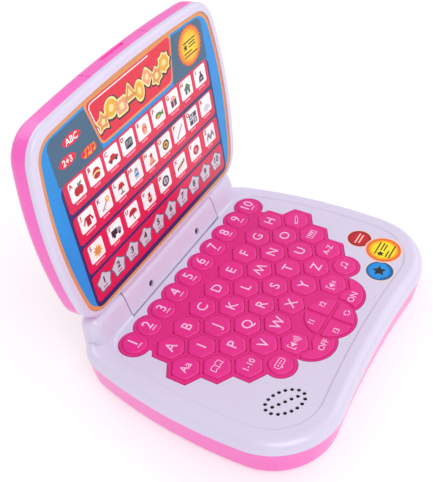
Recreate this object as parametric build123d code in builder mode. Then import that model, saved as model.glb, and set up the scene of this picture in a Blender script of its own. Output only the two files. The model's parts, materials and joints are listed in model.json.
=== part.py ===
from build123d import *
from math import acos, atan2, cos, degrees, hypot, pi, radians, sin, sqrt
import os

os.makedirs("parts", exist_ok=True)

# Toy laptop computer, lid open. Millimetres, +Z up, +Y towards the hinge, +X to the user's right.
# The origin is under the middle of the open toy, on the surface that it stands on.

# ---- driving dimensions -------------------------------------------------------------------
PITCH = 20.0              # centre to centre of the six-sided keys
ROW_STEP = PITCH * sqrt(3) / 2
ROW_A_Y = 21.25           # the row of keys A to H

HALF_WIDTH = 114.0        # base, at its widest
FRONT_Y = -96.95          # front edge of the base at its two lobes
REAR_Y = 79.25            # rear edge of the base
WIDEST_Y = -28.75         # where the base is widest
FRONT_DIP = 2.8           # how far the front edge curves in at its middle
LOBE_X = 62.0             # where the front edge turns into the corners
CORNER_R = 47.0           # front corners
SIDE_R = 345.0            # long curve of the sides
REAR_R = 27.0             # rear corners

FOOT_PROUD = 1.0          # rubber feet below the shell
SEAM_Z = 25.0             # joint between the two base shells
DECK_Z = 32.0             # flat area around the keys
RIM_Z = 32.8              # top of the rim around that area
RIM_WIDTH = 14.0
RIM_SLOPE = 55.0          # degrees from upright, the rim's inner side
RIM_ROUND = 7.4
WALL = 2.2
DRAFT = 9.0               # degrees, bottom shell
INNER_DRAFT = 12.0
BOTTOM_ROUND = 6.0

KEY_TOP_Z = 33.0
WEB_Z = 32.1              # top of the keypad between its keys
KEY_FOOT_Z = 28.6
KEY_TRAVEL = 1.2
BOARD_T = 1.6
BOARD_GAP = 0.2           # under a key that is pressed right down
BOARD_Z = KEY_FOOT_Z - KEY_TRAVEL - BOARD_GAP - BOARD_T

HINGE_Y = 71.2
HINGE_Z = 43.4
LEAN = 6.5                # degrees that the open lid leans back
KNUCKLE_R = 8.0           # round part of the hinge, on the base and on the lid
RAMP_FOOT_Y = 59.4        # where the hinge fairing meets the deck
NOTCH_HALF = 58.0         # half width of the gap between the base's two knuckles
SIDE_GAP = 1.0            # each end of the hinge fairing
PIN_R = 2.0
PIN_FIT = 0.05            # radial running clearance of the pins in the lid

LID_FACE = 9.4            # front face of the lid, in front of the hinge axis
LID_THICK = 18.8
LID_SEAM = 5.2            # joint between the lid's frame and its back shell
LID_LOW = 8.7             # lower edge of the lid above the hinge axis
LID_TOP = 152.6
LID_HALF_WIDTH = 103.0
LID_MID = 80.5            # where the lid is widest
LID_SIDE_R = 270.0
LID_TOP_R = 900.0
LID_CORNER_R = 23.0
LID_BORDER = 6.0          # frame around the picture panel
PANEL_RECESS = 0.8
PANEL_T = 0.5

UPWARD = (Align.CENTER, Align.CENTER, Align.MIN)

lid_plane = Plane(
    origin=(0, HINGE_Y, HINGE_Z),
    x_dir=(1, 0, 0),
    z_dir=(0, -cos(radians(LEAN)), sin(radians(LEAN))),
)


# ---- helpers ------------------------------------------------------------------------------
def circles_meet(centre_a, reach_a, centre_b, reach_b, upper):
    """The point on the right that is reach_a from centre_a and reach_b from centre_b."""
    dx, dy = centre_b[0] - centre_a[0], centre_b[1] - centre_a[1]
    gap = hypot(dx, dy)
    along = (reach_a**2 - reach_b**2 + gap**2) / (2 * gap)
    off = sqrt(reach_a**2 - along**2)
    foot = (centre_a[0] + along * dx / gap, centre_a[1] + along * dy / gap)
    options = [
        (foot[0] + s * off * dy / gap, foot[1] - s * off * dx / gap) for s in (1, -1)
    ]
    return max(options) if upper is None else sorted(options, key=lambda p: p[1])[1 if upper else 0]


def angle_to(centre, point):
    return degrees(atan2(point[1] - centre[1], point[0] - centre[0]))


def base_outline(inset=0.0, rear_y=REAR_Y, rear_r=REAR_R):
    """Plan of the base: dipped front, round corners, long curved sides, straight rear."""
    dip_r = (LOBE_X**2 + FRONT_DIP**2) / (2 * FRONT_DIP)
    dip_c = (0, FRONT_Y + FRONT_DIP - dip_r)
    side_c = (HALF_WIDTH - SIDE_R, WIDEST_Y)
    corner_c = circles_meet(dip_c, dip_r + CORNER_R, side_c, SIDE_R - CORNER_R, None)
    rear_c_y = rear_y - rear_r
    reach = SIDE_R - inset - rear_r
    rear_c = (side_c[0] + sqrt(reach**2 - (rear_c_y - side_c[1]) ** 2), rear_c_y)
    a_dip = angle_to(dip_c, corner_c)
    a_front = angle_to(side_c, corner_c)
    a_rear = angle_to(side_c, rear_c)
    with BuildLine() as half:
        CenterArc(dip_c, dip_r + inset, a_dip, 90 - a_dip)
        CenterArc(corner_c, CORNER_R - inset, a_dip - 180, a_front - (a_dip - 180))
        CenterArc(side_c, SIDE_R - inset, a_front, a_rear - a_front)
        CenterArc(rear_c, rear_r, a_rear, 90 - a_rear)
        Line((rear_c[0], rear_y), (0, rear_y))
        mirror(about=Plane.YZ)
    make_face(half.edges())


def lid_outline(inset=0.0, low=None):
    """Face of the lid, seen from the front: bowed sides and top, straight lower edge."""
    bottom = LID_LOW + inset if low is None else low
    top_c = (0, LID_TOP - LID_TOP_R)
    side_c = (LID_HALF_WIDTH - LID_SIDE_R, LID_MID)
    upper_c = circles_meet(
        top_c, LID_TOP_R - LID_CORNER_R, side_c, LID_SIDE_R - LID_CORNER_R, True
    )
    r = LID_CORNER_R - inset
    lower_y = bottom + r
    reach = LID_SIDE_R - LID_CORNER_R
    lower_c = (side_c[0] + sqrt(reach**2 - (lower_y - side_c[1]) ** 2), lower_y)
    a_top = angle_to(top_c, upper_c)
    a_up = angle_to(side_c, upper_c)
    a_low = angle_to(side_c, lower_c)
    with BuildLine() as half:
        CenterArc(top_c, LID_TOP_R - inset, a_top, 90 - a_top)
        CenterArc(upper_c, r, a_up, a_top - a_up)
        CenterArc(side_c, LID_SIDE_R - inset, a_low, a_up - a_low)
        CenterArc(lower_c, r, -90, 90 + a_low)
        Line((lower_c[0], bottom), (0, bottom))
        mirror(about=Plane.YZ)
    make_face(half.edges())


def finish(builder, name):
    builder.part.label = name
    export_step(builder.part, f"parts/{name}.step")


def hinge_point(radius, angle):
    """A point of the hinge's side view, from the axis, as (y, z)."""
    return (HINGE_Y + radius * cos(radians(angle)), HINGE_Z + radius * sin(radians(angle)))


# ---- where the keys are -------------------------------------------------------------------
NUMBER_PITCH = ROW_STEP
NUMBER_ROW_GAP = 22.6
NUMBER_Y = ROW_A_Y + NUMBER_ROW_GAP
NUMBER_KEY_R = 8.2
HEX_KEY_R = 8.7           # centre to flat
MAT_MARGIN = 2.0          # rubber showing outside the outermost keys
KEY_ROUND = 0.6
CORNER_ROUND = 0.9        # corners of the odd-shaped keys
GROOVE = 2.3              # groove between the odd-shaped keys and their neighbours
QUIZ_GROOVE = 0.6         # beyond the quiz lobe's own edge
SWITCH_NECK = 24.0        # inboard part of the ON and OFF keys that stops at SWITCH_TOP_Y
SWITCH_TOP_Y = -57.0
KEY_GAP = 0.2             # running gap between a key and the keypad sheet
SHELL_GAP = 0.35          # gap between the keypad sheet and the top shell


def cell(column, row):
    """Centre of a six-sided key: rows count forward from A to H, columns count from A."""
    return ((column + row / 2 - 3.5) * PITCH, ROW_A_Y - row * ROW_STEP)


LETTER_ROWS = ["ABCDEFGH", "IJKLMNO", "PQRSTU", "VWXYZ"]
letter_cells = {
    letter: cell(column, row)
    for row, letters in enumerate(LETTER_ROWS)
    for column, letter in enumerate(letters)
}
number_cells = [((n - 4.5) * NUMBER_PITCH, NUMBER_Y) for n in range(10)]
mode_hexes = [cell(-1, 1), cell(7, 1), cell(-1, 2), cell(6, 2), cell(-1, 3), cell(5, 3)]
mode_rounds = [cell(-1, 4), cell(4, 4)]
sound_cells = [cell(0, 4), cell(3, 4)]
quiz_hexes = [cell(1, 4), cell(2, 4)]
QUIZ_DROP = 80.0          # the quiz disc in front of the row of keys A to H
QUIZ_C = (0, ROW_A_Y - QUIZ_DROP)
QUIZ_LOBE_R = 18.6
SWITCH_X = 23.0
SWITCH_Y = -55.75
SWITCH_LOBE_R = 18.2
LOBE_R = 11.2             # round lobes of the keypad at the number and corner keys


def hexagon(centre, flat_radius):
    with Locations(centre):
        RegularPolygon(flat_radius, 6, major_radius=False, rotation=30)


def keypad_outline(grow=0.0):
    """The opening's outline: every cell with its margin, and the rounded lobes."""
    hexes = list(letter_cells.values()) + mode_hexes + sound_cells + quiz_hexes
    for centre in hexes:
        hexagon(centre, PITCH / 2 + MAT_MARGIN + grow)
    with Locations(*number_cells, *mode_rounds):
        Circle(LOBE_R + grow)
    with Locations(QUIZ_C):
        Circle(QUIZ_LOBE_R + grow)
    with Locations((SWITCH_X, SWITCH_Y), (-SWITCH_X, SWITCH_Y)):
        Circle(SWITCH_LOBE_R + grow)
    with Locations((0, (NUMBER_Y + ROW_A_Y) / 2)):
        Rectangle(9 * NUMBER_PITCH, NUMBER_Y - ROW_A_Y)


def hexagon_cut(centre, grow):
    """Takes away a six-sided key and the groove around it."""
    with Locations(centre):
        RegularPolygon(
            HEX_KEY_R + GROOVE - grow, 6, major_radius=False, rotation=30, mode=Mode.SUBTRACT
        )


def switch_face(side, grow=0.0):
    """The OFF and ON keys: what the six-sided keys and the quiz disc leave of a round lobe."""
    with BuildSketch() as plan:
        with Locations((side * SWITCH_X, SWITCH_Y)):
            Circle(SWITCH_LOBE_R - MAT_MARGIN + grow)
        for column in (-1, 0, 3, 4):
            hexagon_cut(cell(column, 4), grow)
        with Locations(QUIZ_C):
            Circle(QUIZ_LOBE_R + QUIZ_GROOVE - grow, mode=Mode.SUBTRACT)
        with Locations((-side * PITCH, SWITCH_Y + PITCH / 2)):
            Rectangle(2 * PITCH, 3 * PITCH, mode=Mode.SUBTRACT)
        with Locations((side * SWITCH_NECK / 2, SWITCH_TOP_Y + PITCH + grow)):
            Rectangle(SWITCH_NECK, 2 * PITCH, mode=Mode.SUBTRACT)
        fillet(plan.vertices(), CORNER_ROUND)
    return plan.sketch


def quiz_face(grow=0.0):
    """Four quarters of a disc, cut back from the row of letter keys above them."""
    with BuildSketch() as plan:
        with Locations(QUIZ_C):
            Circle(QUIZ_LOBE_R - MAT_MARGIN + grow)
        for letter in "WXY":
            hexagon_cut(letter_cells[letter], grow)
        with Locations(QUIZ_C):
            Rectangle(GROOVE - 2 * grow, 4 * PITCH, mode=Mode.SUBTRACT)
            Rectangle(4 * PITCH, GROOVE - 2 * grow, mode=Mode.SUBTRACT)
        fillet(plan.vertices(), CORNER_ROUND)
    return plan.sketch


# ---- base: bottom shell -------------------------------------------------------------------
SHELL_BOTTOM = FOOT_PROUD
BOTTOM_HEIGHT = SEAM_Z - SHELL_BOTTOM
BAY_X, BAY_Y = 20.0, 30.0          # middle of the battery bay
BAY_SIZE = (66.0, 50.0)
BAY_WALL = 2.0
BAY_LEDGE = 1.0            # step that the battery cover rests on
COVER_GAP = 0.3
COVER_T = 2.0
BATTERY_R = 7.1
BATTERY_LENGTH = 50.0
BATTERY_STEP = 15.2
BAY_TOP = 20.5
BOSS_R = 4.0
SCREW_R = 1.25
THREAD_R = 1.3             # hole that a screw bites in
PASS_R = 1.6              # hole that a screw passes through
SCREW_HEAD_R = 2.8
HEAD_PASS_R = 3.2
COVER_HOLE = 12.0
BOSS_LAP = 1.0            # how far the posts run into the shells, and stop short of the seam
SCREW_HEAD_H = 1.8
CROSS_L, CROSS_W = 3.2, 0.8         # the cross recess in a screw's head
TIP_GAP = 0.4                       # between a screw's tip and the bottom of its hole
BOSS_SPOTS = [(-98, -40), (98, -40), (-60, -86), (60, -86), (-93, 56), (93, 56)]
COUNTERBORE_H = 4.0
FOOT_SPOTS = [(-88, -58), (88, -58), (-78, 46), (78, 46)]
FOOT_R = 6.0
FOOT_SET = 0.8
FOOT_FIT = 0.1
FOOT_ROUND = 0.4
COVER_SCREW = (BAY_X, BAY_Y - BAY_SIZE[1] / 2 - 6.0)

with BuildPart() as base_bottom_shell:
    with BuildSketch(Plane.XY.offset(SEAM_Z)):
        base_outline()
    extrude(amount=-BOTTOM_HEIGHT, taper=DRAFT)
    fillet(base_bottom_shell.edges().group_by(Axis.Z)[0], BOTTOM_ROUND)
    with BuildSketch(Plane.XY.offset(SEAM_Z)):
        base_outline(WALL)
    extrude(amount=-(BOTTOM_HEIGHT - WALL), taper=INNER_DRAFT, mode=Mode.SUBTRACT)
    # battery bay: walls standing on the floor, a ledge for the cover and its screw post
    with BuildSketch(Plane.XY.offset(SHELL_BOTTOM)):
        with Locations((BAY_X, BAY_Y)):
            Rectangle(BAY_SIZE[0] + 2 * BAY_WALL, BAY_SIZE[1] + 2 * BAY_WALL)
        with Locations(COVER_SCREW):
            Circle(BOSS_R + BAY_LEDGE)
    extrude(amount=BAY_TOP - SHELL_BOTTOM)
    with BuildSketch(Plane.XY.offset(SHELL_BOTTOM)):
        with Locations((BAY_X, BAY_Y)):
            Rectangle(BAY_SIZE[0], BAY_SIZE[1])
    extrude(amount=BAY_TOP - SHELL_BOTTOM - WALL, mode=Mode.SUBTRACT)
    with BuildSketch(Plane.XY.offset(SHELL_BOTTOM)):
        with Locations((BAY_X, BAY_Y)):
            Rectangle(BAY_SIZE[0] + 2 * BAY_LEDGE, BAY_SIZE[1] + 2 * BAY_LEDGE)
        with Locations(COVER_SCREW):
            Circle(BOSS_R)
        with Locations((COVER_SCREW[0], COVER_SCREW[1] + BOSS_R)):
            Rectangle(2 * BOSS_R, 2 * BOSS_R)
    extrude(amount=COVER_T + COVER_GAP / 2, mode=Mode.SUBTRACT)
    with Locations((*COVER_SCREW, SHELL_BOTTOM)):
        Cylinder(THREAD_R, COVER_HOLE, align=UPWARD, mode=Mode.SUBTRACT)
    # screw posts, with the heads sunk in from below
    with BuildSketch(Plane.XY.offset(SHELL_BOTTOM + BOSS_LAP)):
        with Locations(*BOSS_SPOTS):
            Circle(BOSS_R)
    extrude(amount=BOTTOM_HEIGHT - 2 * BOSS_LAP)
    with Locations(*[(x, y, SHELL_BOTTOM) for x, y in BOSS_SPOTS]):
        Cylinder(PASS_R, BOTTOM_HEIGHT, align=UPWARD, mode=Mode.SUBTRACT)
        Cylinder(HEAD_PASS_R, COUNTERBORE_H, align=UPWARD, mode=Mode.SUBTRACT)
    with Locations(*[(x, y, SHELL_BOTTOM) for x, y in FOOT_SPOTS]):
        Cylinder(FOOT_R + FOOT_FIT, FOOT_SET, align=UPWARD, mode=Mode.SUBTRACT)
finish(base_bottom_shell, "base_bottom_shell")

# ---- base: top shell ----------------------------------------------------------------------
DECK_T = 2.2
CEILING_Z = DECK_Z - DECK_T
KNUCKLE_END = 90.5
KNUCKLE_ROUND = 7.0
TROUGH_R = 17.4           # swept by the tip of the lid's hinge fairing
TROUGH_WALL = 2.2
PIN_LENGTH = 16.0
PIN_HOLD = 8.0            # solid end of each base knuckle around its pin
DECK_REAR_Y = 58.4
DECK_REAR_R = 20.0
GRILLE_C = (-74.3, -63.2)
GRILLE_AXES = (13.3, 7.8)
GRILLE_TILT = -35.0
GRILLE_RING = 16
GRILLE_ROW = 5
GRILLE_ROW_STEP = 4.4
GRILLE_HOLE_R = 1.25
PIN_SPOTS = (NOTCH_HALF + PIN_HOLD - PIN_LENGTH / 2, -(NOTCH_HALF + PIN_HOLD - PIN_LENGTH / 2))
SCREW_DEPTH = 5.4


# holes at even steps around a tilted oval, and a row along its long axis
grille_plane = Plane((*GRILLE_C, 0)).rotated((0, 0, GRILLE_TILT))
grille_oval = Edge.make_ellipse(*GRILLE_AXES, plane=grille_plane)
grille_ring = [grille_oval.position_at(n / GRILLE_RING) for n in range(GRILLE_RING)]
grille_row = [
    grille_plane.from_local_coords(((n - (GRILLE_ROW - 1) / 2) * GRILLE_ROW_STEP, 0, 0))
    for n in range(GRILLE_ROW)
]
grille_spots = [(spot.X, spot.Y) for spot in grille_ring + grille_row]


def knuckle_profile(radius, foot):
    """Side view of the hinge fairing: round over the axis, tangent ramp down to its foot."""
    foot_r = hypot(foot[0] - HINGE_Y, foot[1] - HINGE_Z)
    foot_a = atan2(foot[1] - HINGE_Z, foot[0] - HINGE_Y) % (2 * pi)
    touch = degrees(foot_a - acos(radius / foot_r))
    with BuildLine() as side:
        CenterArc((HINGE_Y, HINGE_Z), radius, 0, touch)
        Polyline(
            hinge_point(radius, touch), foot, (foot[0], SEAM_Z), (HINGE_Y + radius, SEAM_Z),
            (HINGE_Y + radius, HINGE_Z),
        )
    make_face(side.edges())


with BuildPart() as knuckle:
    with BuildSketch(Plane.YZ.offset(NOTCH_HALF)):
        knuckle_profile(KNUCKLE_R, (RAMP_FOOT_Y, DECK_Z))
    extrude(amount=KNUCKLE_END - NOTCH_HALF)
    end_face = knuckle.faces().sort_by(Axis.X)[-1]
    end_edges = end_face.edges().filter_by(lambda e: e.center().Z > DECK_Z)
    fillet(end_edges, KNUCKLE_ROUND)
    with BuildSketch(Plane.YZ.offset(NOTCH_HALF + PIN_HOLD)):
        knuckle_profile(KNUCKLE_R - DECK_T, (RAMP_FOOT_Y + DECK_T, CEILING_Z))
    extrude(amount=KNUCKLE_END - NOTCH_HALF - PIN_HOLD - KNUCKLE_ROUND + DECK_T, mode=Mode.SUBTRACT)

with BuildPart() as top_cavity:
    with BuildSketch(Plane.XY.offset(SEAM_Z - BOSS_LAP)):
        base_outline(WALL)
    extrude(amount=CEILING_Z - SEAM_Z + BOSS_LAP)
    fillet(top_cavity.edges().group_by(Axis.Z)[-1], RIM_ROUND - DECK_T)

with BuildPart() as base_top_shell:
    with BuildSketch(Plane.XY.offset(SEAM_Z)):
        base_outline()
    extrude(amount=RIM_Z - SEAM_Z)
    fillet(base_top_shell.edges().group_by(Axis.Z)[-1], RIM_ROUND)
    with BuildSketch(Plane.XY.offset(DECK_Z)):
        base_outline(RIM_WIDTH, rear_y=DECK_REAR_Y, rear_r=DECK_REAR_R)
    extrude(amount=RIM_Z - DECK_Z, taper=-RIM_SLOPE, mode=Mode.SUBTRACT)
    add(top_cavity.part, mode=Mode.SUBTRACT)
    add(knuckle.part)
    add(mirror(knuckle.part, about=Plane.YZ))
    # trough that the lid's hinge fairing turns in
    with BuildSketch(Plane.YZ):
        with Locations((HINGE_Y, HINGE_Z)):
            Circle(TROUGH_R + TROUGH_WALL)
        with Locations((REAR_Y - WALL / 2, DECK_Z)):
            Rectangle(3 * TROUGH_R, TROUGH_R, align=(Align.MAX, Align.MAX), mode=Mode.INTERSECT)
    extrude(amount=NOTCH_HALF + TROUGH_WALL, both=True)
    with BuildSketch(Plane.YZ):
        with Locations((HINGE_Y, HINGE_Z)):
            Circle(TROUGH_R)
    extrude(amount=NOTCH_HALF, both=True, mode=Mode.SUBTRACT)
    # pin holes
    with Locations(*[(x, HINGE_Y, HINGE_Z) for x in PIN_SPOTS]):
        Cylinder(PIN_R, PIN_LENGTH, rotation=(0, 90, 0), mode=Mode.SUBTRACT)
    # screw posts
    with BuildSketch(Plane.XY.offset(SEAM_Z - BOSS_LAP)):
        with Locations(*BOSS_SPOTS):
            Circle(BOSS_R)
    extrude(amount=CEILING_Z - SEAM_Z + BOSS_LAP + DECK_T / 2)
    with Locations(*[(x, y, SEAM_Z - BOSS_LAP) for x, y in BOSS_SPOTS]):
        Cylinder(THREAD_R, SCREW_DEPTH, align=UPWARD, mode=Mode.SUBTRACT)
    # keypad opening and speaker holes
    with BuildSketch(Plane.XY.offset(SEAM_Z)):
        keypad_outline()
    extrude(amount=RIM_Z - SEAM_Z, mode=Mode.SUBTRACT)
    with BuildSketch(Plane.XY.offset(SEAM_Z)):
        with Locations(*grille_spots):
            Circle(GRILLE_HOLE_R)
    extrude(amount=RIM_Z - SEAM_Z, mode=Mode.SUBTRACT)
finish(base_top_shell, "base_top_shell")

# ---- base: keypad -------------------------------------------------------------------------
SPEAKER_R = 16.5
FLANGE = 2.0
FLANGE_T = 1.0

with BuildPart() as keypad_sheet:
    with BuildSketch(Plane.XY.offset(CEILING_Z - FLANGE_T)):
        keypad_outline(FLANGE)
        with Locations(GRILLE_C):
            Circle(SPEAKER_R + SHELL_GAP, mode=Mode.SUBTRACT)
    extrude(amount=FLANGE_T)
    with BuildSketch(Plane.XY.offset(CEILING_Z)):
        keypad_outline(-SHELL_GAP)
    extrude(amount=WEB_Z - CEILING_Z)
    with BuildSketch(Plane.XY.offset(CEILING_Z - FLANGE_T)):
        for centre in list(letter_cells.values()) + mode_hexes + sound_cells:
            hexagon(centre, HEX_KEY_R + KEY_GAP)
        with Locations(*number_cells, *mode_rounds):
            Circle(NUMBER_KEY_R + KEY_GAP)
        add(switch_face(-1, KEY_GAP))
        add(switch_face(1, KEY_GAP))
        add(quiz_face(KEY_GAP))
    extrude(amount=WEB_Z - CEILING_Z + FLANGE_T, mode=Mode.SUBTRACT)
finish(keypad_sheet, "keypad_sheet")

# ---- base: keys ---------------------------------------------------------------------------
def key_top(builder):
    fillet(builder.edges().group_by(Axis.Z)[-1], KEY_ROUND)


KEY_HEIGHT = KEY_TOP_Z - KEY_FOOT_Z

for letter, centre in letter_cells.items():
    with BuildPart() as letter_key:
        with BuildSketch(Plane.XY.offset(KEY_FOOT_Z)):
            hexagon(centre, HEX_KEY_R)
        extrude(amount=KEY_HEIGHT)
        key_top(letter_key)
    finish(letter_key, f"key_{letter.lower()}")

for number, centre in enumerate(number_cells, start=1):
    with BuildPart() as number_key:
        with BuildSketch(Plane.XY.offset(KEY_FOOT_Z)):
            with Locations(centre):
                Circle(NUMBER_KEY_R)
        extrude(amount=KEY_HEIGHT)
        key_top(number_key)
    finish(number_key, f"key_{number}")

for side, name in ((-1, "key_off"), (1, "key_on")):
    with BuildPart() as switch_key:
        with BuildSketch(Plane.XY.offset(KEY_FOOT_Z)):
            add(switch_face(side))
        extrude(amount=KEY_HEIGHT)
        key_top(switch_key)
    finish(switch_key, name)

for centre, name in zip(sound_cells, ("key_loud", "key_soft")):
    with BuildPart() as sound_key:
        with BuildSketch(Plane.XY.offset(KEY_FOOT_Z)):
            hexagon(centre, HEX_KEY_R)
        extrude(amount=KEY_HEIGHT)
        key_top(sound_key)
    finish(sound_key, name)

with BuildPart() as mode_keys:
    with BuildSketch(Plane.XY.offset(KEY_FOOT_Z)):
        for centre in mode_hexes:
            hexagon(centre, HEX_KEY_R)
        with Locations(*mode_rounds):
            Circle(NUMBER_KEY_R)
    extrude(amount=KEY_HEIGHT)
    key_top(mode_keys)
finish(mode_keys, "keys_mode")

with BuildPart() as quiz_keys:
    with BuildSketch(Plane.XY.offset(KEY_FOOT_Z)):
        add(quiz_face())
    extrude(amount=KEY_HEIGHT)
    key_top(quiz_keys)
finish(quiz_keys, "keys_quiz")

# ---- base: inside parts -------------------------------------------------------------------
BOARD_SIZE = (158.0, 92.0)
BOARD_Y = 3.0
BOARD_CORNER = 4.0
BOARD_HOLES = [(-72, -28), (72, -28), (-72, 40), (72, 40)]
SPEAKER_RING = 3.0
RING_WIDTH = 2.0
MAGNET_R = 9.0
MAGNET_H = 5.0
SPEAKER_DEPTH = 12.0
CONE_DEPTH = 5.0
CONE_LIP = 1.5
CONE_EDGE = 3.0           # from the rim of the speaker to the edge of its cone
DOME_R = 5.0
DOME_DEPTH = 4.0

with BuildPart() as circuit_board:
    with BuildSketch(Plane.XY.offset(BOARD_Z)):
        with Locations((0, BOARD_Y)):
            RectangleRounded(*BOARD_SIZE, BOARD_CORNER)
        with Locations(*BOARD_HOLES):
            Circle(PASS_R, mode=Mode.SUBTRACT)
    extrude(amount=BOARD_T)
finish(circuit_board, "circuit_board")

with BuildPart() as speaker:
    with BuildSketch(Plane.XZ.offset(-GRILLE_C[1])):
        with BuildLine() as cone:
            Polyline(
                (GRILLE_C[0], CEILING_Z - SPEAKER_DEPTH),
                (GRILLE_C[0] + MAGNET_R, CEILING_Z - SPEAKER_DEPTH),
                (GRILLE_C[0] + MAGNET_R, CEILING_Z - SPEAKER_DEPTH + MAGNET_H),
                (GRILLE_C[0] + SPEAKER_R - RING_WIDTH, CEILING_Z - SPEAKER_RING),
                (GRILLE_C[0] + SPEAKER_R, CEILING_Z - SPEAKER_RING),
                (GRILLE_C[0] + SPEAKER_R, CEILING_Z),
                (GRILLE_C[0] + SPEAKER_R - RING_WIDTH, CEILING_Z),
                (GRILLE_C[0] + SPEAKER_R - CONE_EDGE, CEILING_Z - CONE_LIP),
                (GRILLE_C[0] + DOME_R, CEILING_Z - CONE_DEPTH),
                (GRILLE_C[0], CEILING_Z - DOME_DEPTH),
                close=True,
            )
        make_face(cone.edges())
    revolve(axis=Axis((*GRILLE_C, 0), (0, 0, 1)))
finish(speaker, "speaker")

LEAD_R = 0.6
LEAD_STEP = 3.0
LEAD_LOW_Z = 20.0
LEAD_BEND = 2.2
LEAD_END = (GRILLE_C[0] - LEAD_STEP / 2, GRILLE_C[1] + SPEAKER_R - RING_WIDTH / 2)
LEAD_START = (-62.0, -34.0)
lead_paths = [
    [
        (LEAD_START[0] + shift, LEAD_START[1], BOARD_Z),
        (LEAD_START[0] + shift, LEAD_START[1], LEAD_LOW_Z),
        (LEAD_END[0] + shift, LEAD_END[1], LEAD_LOW_Z),
        (LEAD_END[0] + shift, LEAD_END[1], CEILING_Z - SPEAKER_RING),
    ]
    for shift in (0, LEAD_STEP)
]
lead_tubes = []
for points in lead_paths:
    with BuildPart() as lead:
        with BuildLine():
            FilletPolyline(*points, radius=LEAD_BEND)
        with BuildSketch(Plane(origin=points[0], z_dir=(0, 0, -1))):
            Circle(LEAD_R)
        sweep()
    lead_tubes.append(lead.part)
with BuildPart() as speaker_leads:
    add(lead_tubes)
finish(speaker_leads, "speaker_leads")

BATTERY_Z = SHELL_BOTTOM + COVER_T + COVER_GAP + BATTERY_R
battery_rows = [BAY_Y + step * BATTERY_STEP for step in (-1, 0, 1)]
TIP_LENGTH = 1.0
TIP_R = 2.7

with BuildPart() as batteries:
    for turn, row_y in zip((1, -1, 1), battery_rows):
        with Locations((BAY_X, row_y, BATTERY_Z)):
            Cylinder(BATTERY_R, BATTERY_LENGTH, rotation=(0, 90, 0))
        with Locations((BAY_X + turn * (BATTERY_LENGTH + TIP_LENGTH) / 2, row_y, BATTERY_Z)):
            Cylinder(TIP_R, TIP_LENGTH, rotation=(0, 90, 0))
finish(batteries, "batteries")

CONTACT_T = 0.5
CONTACT_SIZE = (11.0, 10.0)
SPRING_RS = (3.0, 1.8)
with BuildPart() as battery_contacts:
    for turn, row_y in zip((1, -1, 1), battery_rows):
        for end in (1, -1):
            wall_x = BAY_X + end * (BAY_SIZE[0] / 2 - CONTACT_T / 2)
            with Locations((wall_x, row_y, BATTERY_Z)):
                Box(CONTACT_T, *CONTACT_SIZE)
            reach = (BAY_SIZE[0] - BATTERY_LENGTH) / 2 - CONTACT_T - (TIP_LENGTH if end == turn else 0)
            with Locations((wall_x - end * (reach + CONTACT_T) / 2, row_y, BATTERY_Z)):
                Cone(*SPRING_RS, reach, rotation=(0, -90 * end, 0))
finish(battery_contacts, "battery_contacts")

COVER_EDGE = 2 * (BAY_LEDGE - COVER_GAP)
GRIP_Y = BAY_Y - 12.0
GRIP_SIZE = (24.0, 1.4)
GRIP_STEP = 3.0
GRIP_COUNT = 4
GRIP_DEPTH = 0.7
COVER_SINK = 1.2

with BuildPart() as battery_cover:
    with BuildSketch(Plane.XY.offset(SHELL_BOTTOM)):
        with Locations((BAY_X, BAY_Y)):
            Rectangle(BAY_SIZE[0] + COVER_EDGE, BAY_SIZE[1] + COVER_EDGE)
        with Locations(COVER_SCREW):
            Circle(BOSS_R - COVER_GAP)
        with Locations((COVER_SCREW[0], COVER_SCREW[1] + BOSS_R)):
            Rectangle(2 * (BOSS_R - COVER_GAP), 2 * BOSS_R)
    extrude(amount=COVER_T)
    with BuildSketch(Plane.XY.offset(SHELL_BOTTOM)):
        with Locations((BAY_X, GRIP_Y)):
            with GridLocations(0, GRIP_STEP, 1, GRIP_COUNT):
                SlotOverall(*GRIP_SIZE)
    extrude(amount=GRIP_DEPTH, mode=Mode.SUBTRACT)
    with Locations((*COVER_SCREW, SHELL_BOTTOM)):
        Cylinder(PASS_R, COVER_T, align=UPWARD, mode=Mode.SUBTRACT)
        Cylinder(HEAD_PASS_R, COVER_SINK, align=UPWARD, mode=Mode.SUBTRACT)
finish(battery_cover, "battery_cover")


def screw(spot, seat_z, length, head_h):
    """A pan-head screw pointing up, its head's upper face at seat_z."""
    with Locations((*spot, seat_z)):
        Cylinder(SCREW_HEAD_R, head_h, align=(Align.CENTER, Align.CENTER, Align.MAX))
        Cylinder(SCREW_R, length, align=UPWARD)
    with Locations((*spot, seat_z - head_h)):
        Box(CROSS_L, CROSS_W, CROSS_W, align=UPWARD, mode=Mode.SUBTRACT)
        Box(CROSS_W, CROSS_L, CROSS_W, align=UPWARD, mode=Mode.SUBTRACT)


CASE_SEAT_Z = SHELL_BOTTOM + COUNTERBORE_H
CASE_TIP_Z = SEAM_Z - BOSS_LAP + SCREW_DEPTH - TIP_GAP
COVER_SCREW_L = 9.0
COVER_HEAD_H = 1.0
with BuildPart() as case_screws:
    for spot in BOSS_SPOTS:
        screw(spot, CASE_SEAT_Z, CASE_TIP_Z - CASE_SEAT_Z, SCREW_HEAD_H)
    screw(COVER_SCREW, SHELL_BOTTOM + COVER_SINK, COVER_SCREW_L, COVER_HEAD_H)
finish(case_screws, "case_screws")

with BuildPart() as rubber_feet:
    with BuildSketch(Plane.XY):
        with Locations(*FOOT_SPOTS):
            Circle(FOOT_R)
    extrude(amount=FOOT_PROUD + FOOT_SET)
    fillet(rubber_feet.edges().group_by(Axis.Z)[0], FOOT_ROUND)
finish(rubber_feet, "rubber_feet")

with BuildPart() as hinge_pins:
    with Locations(*[(x, HINGE_Y, HINGE_Z) for x in PIN_SPOTS]):
        Cylinder(PIN_R, PIN_LENGTH - TIP_GAP, rotation=(0, 90, 0))
finish(hinge_pins, "hinge_pins")

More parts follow.
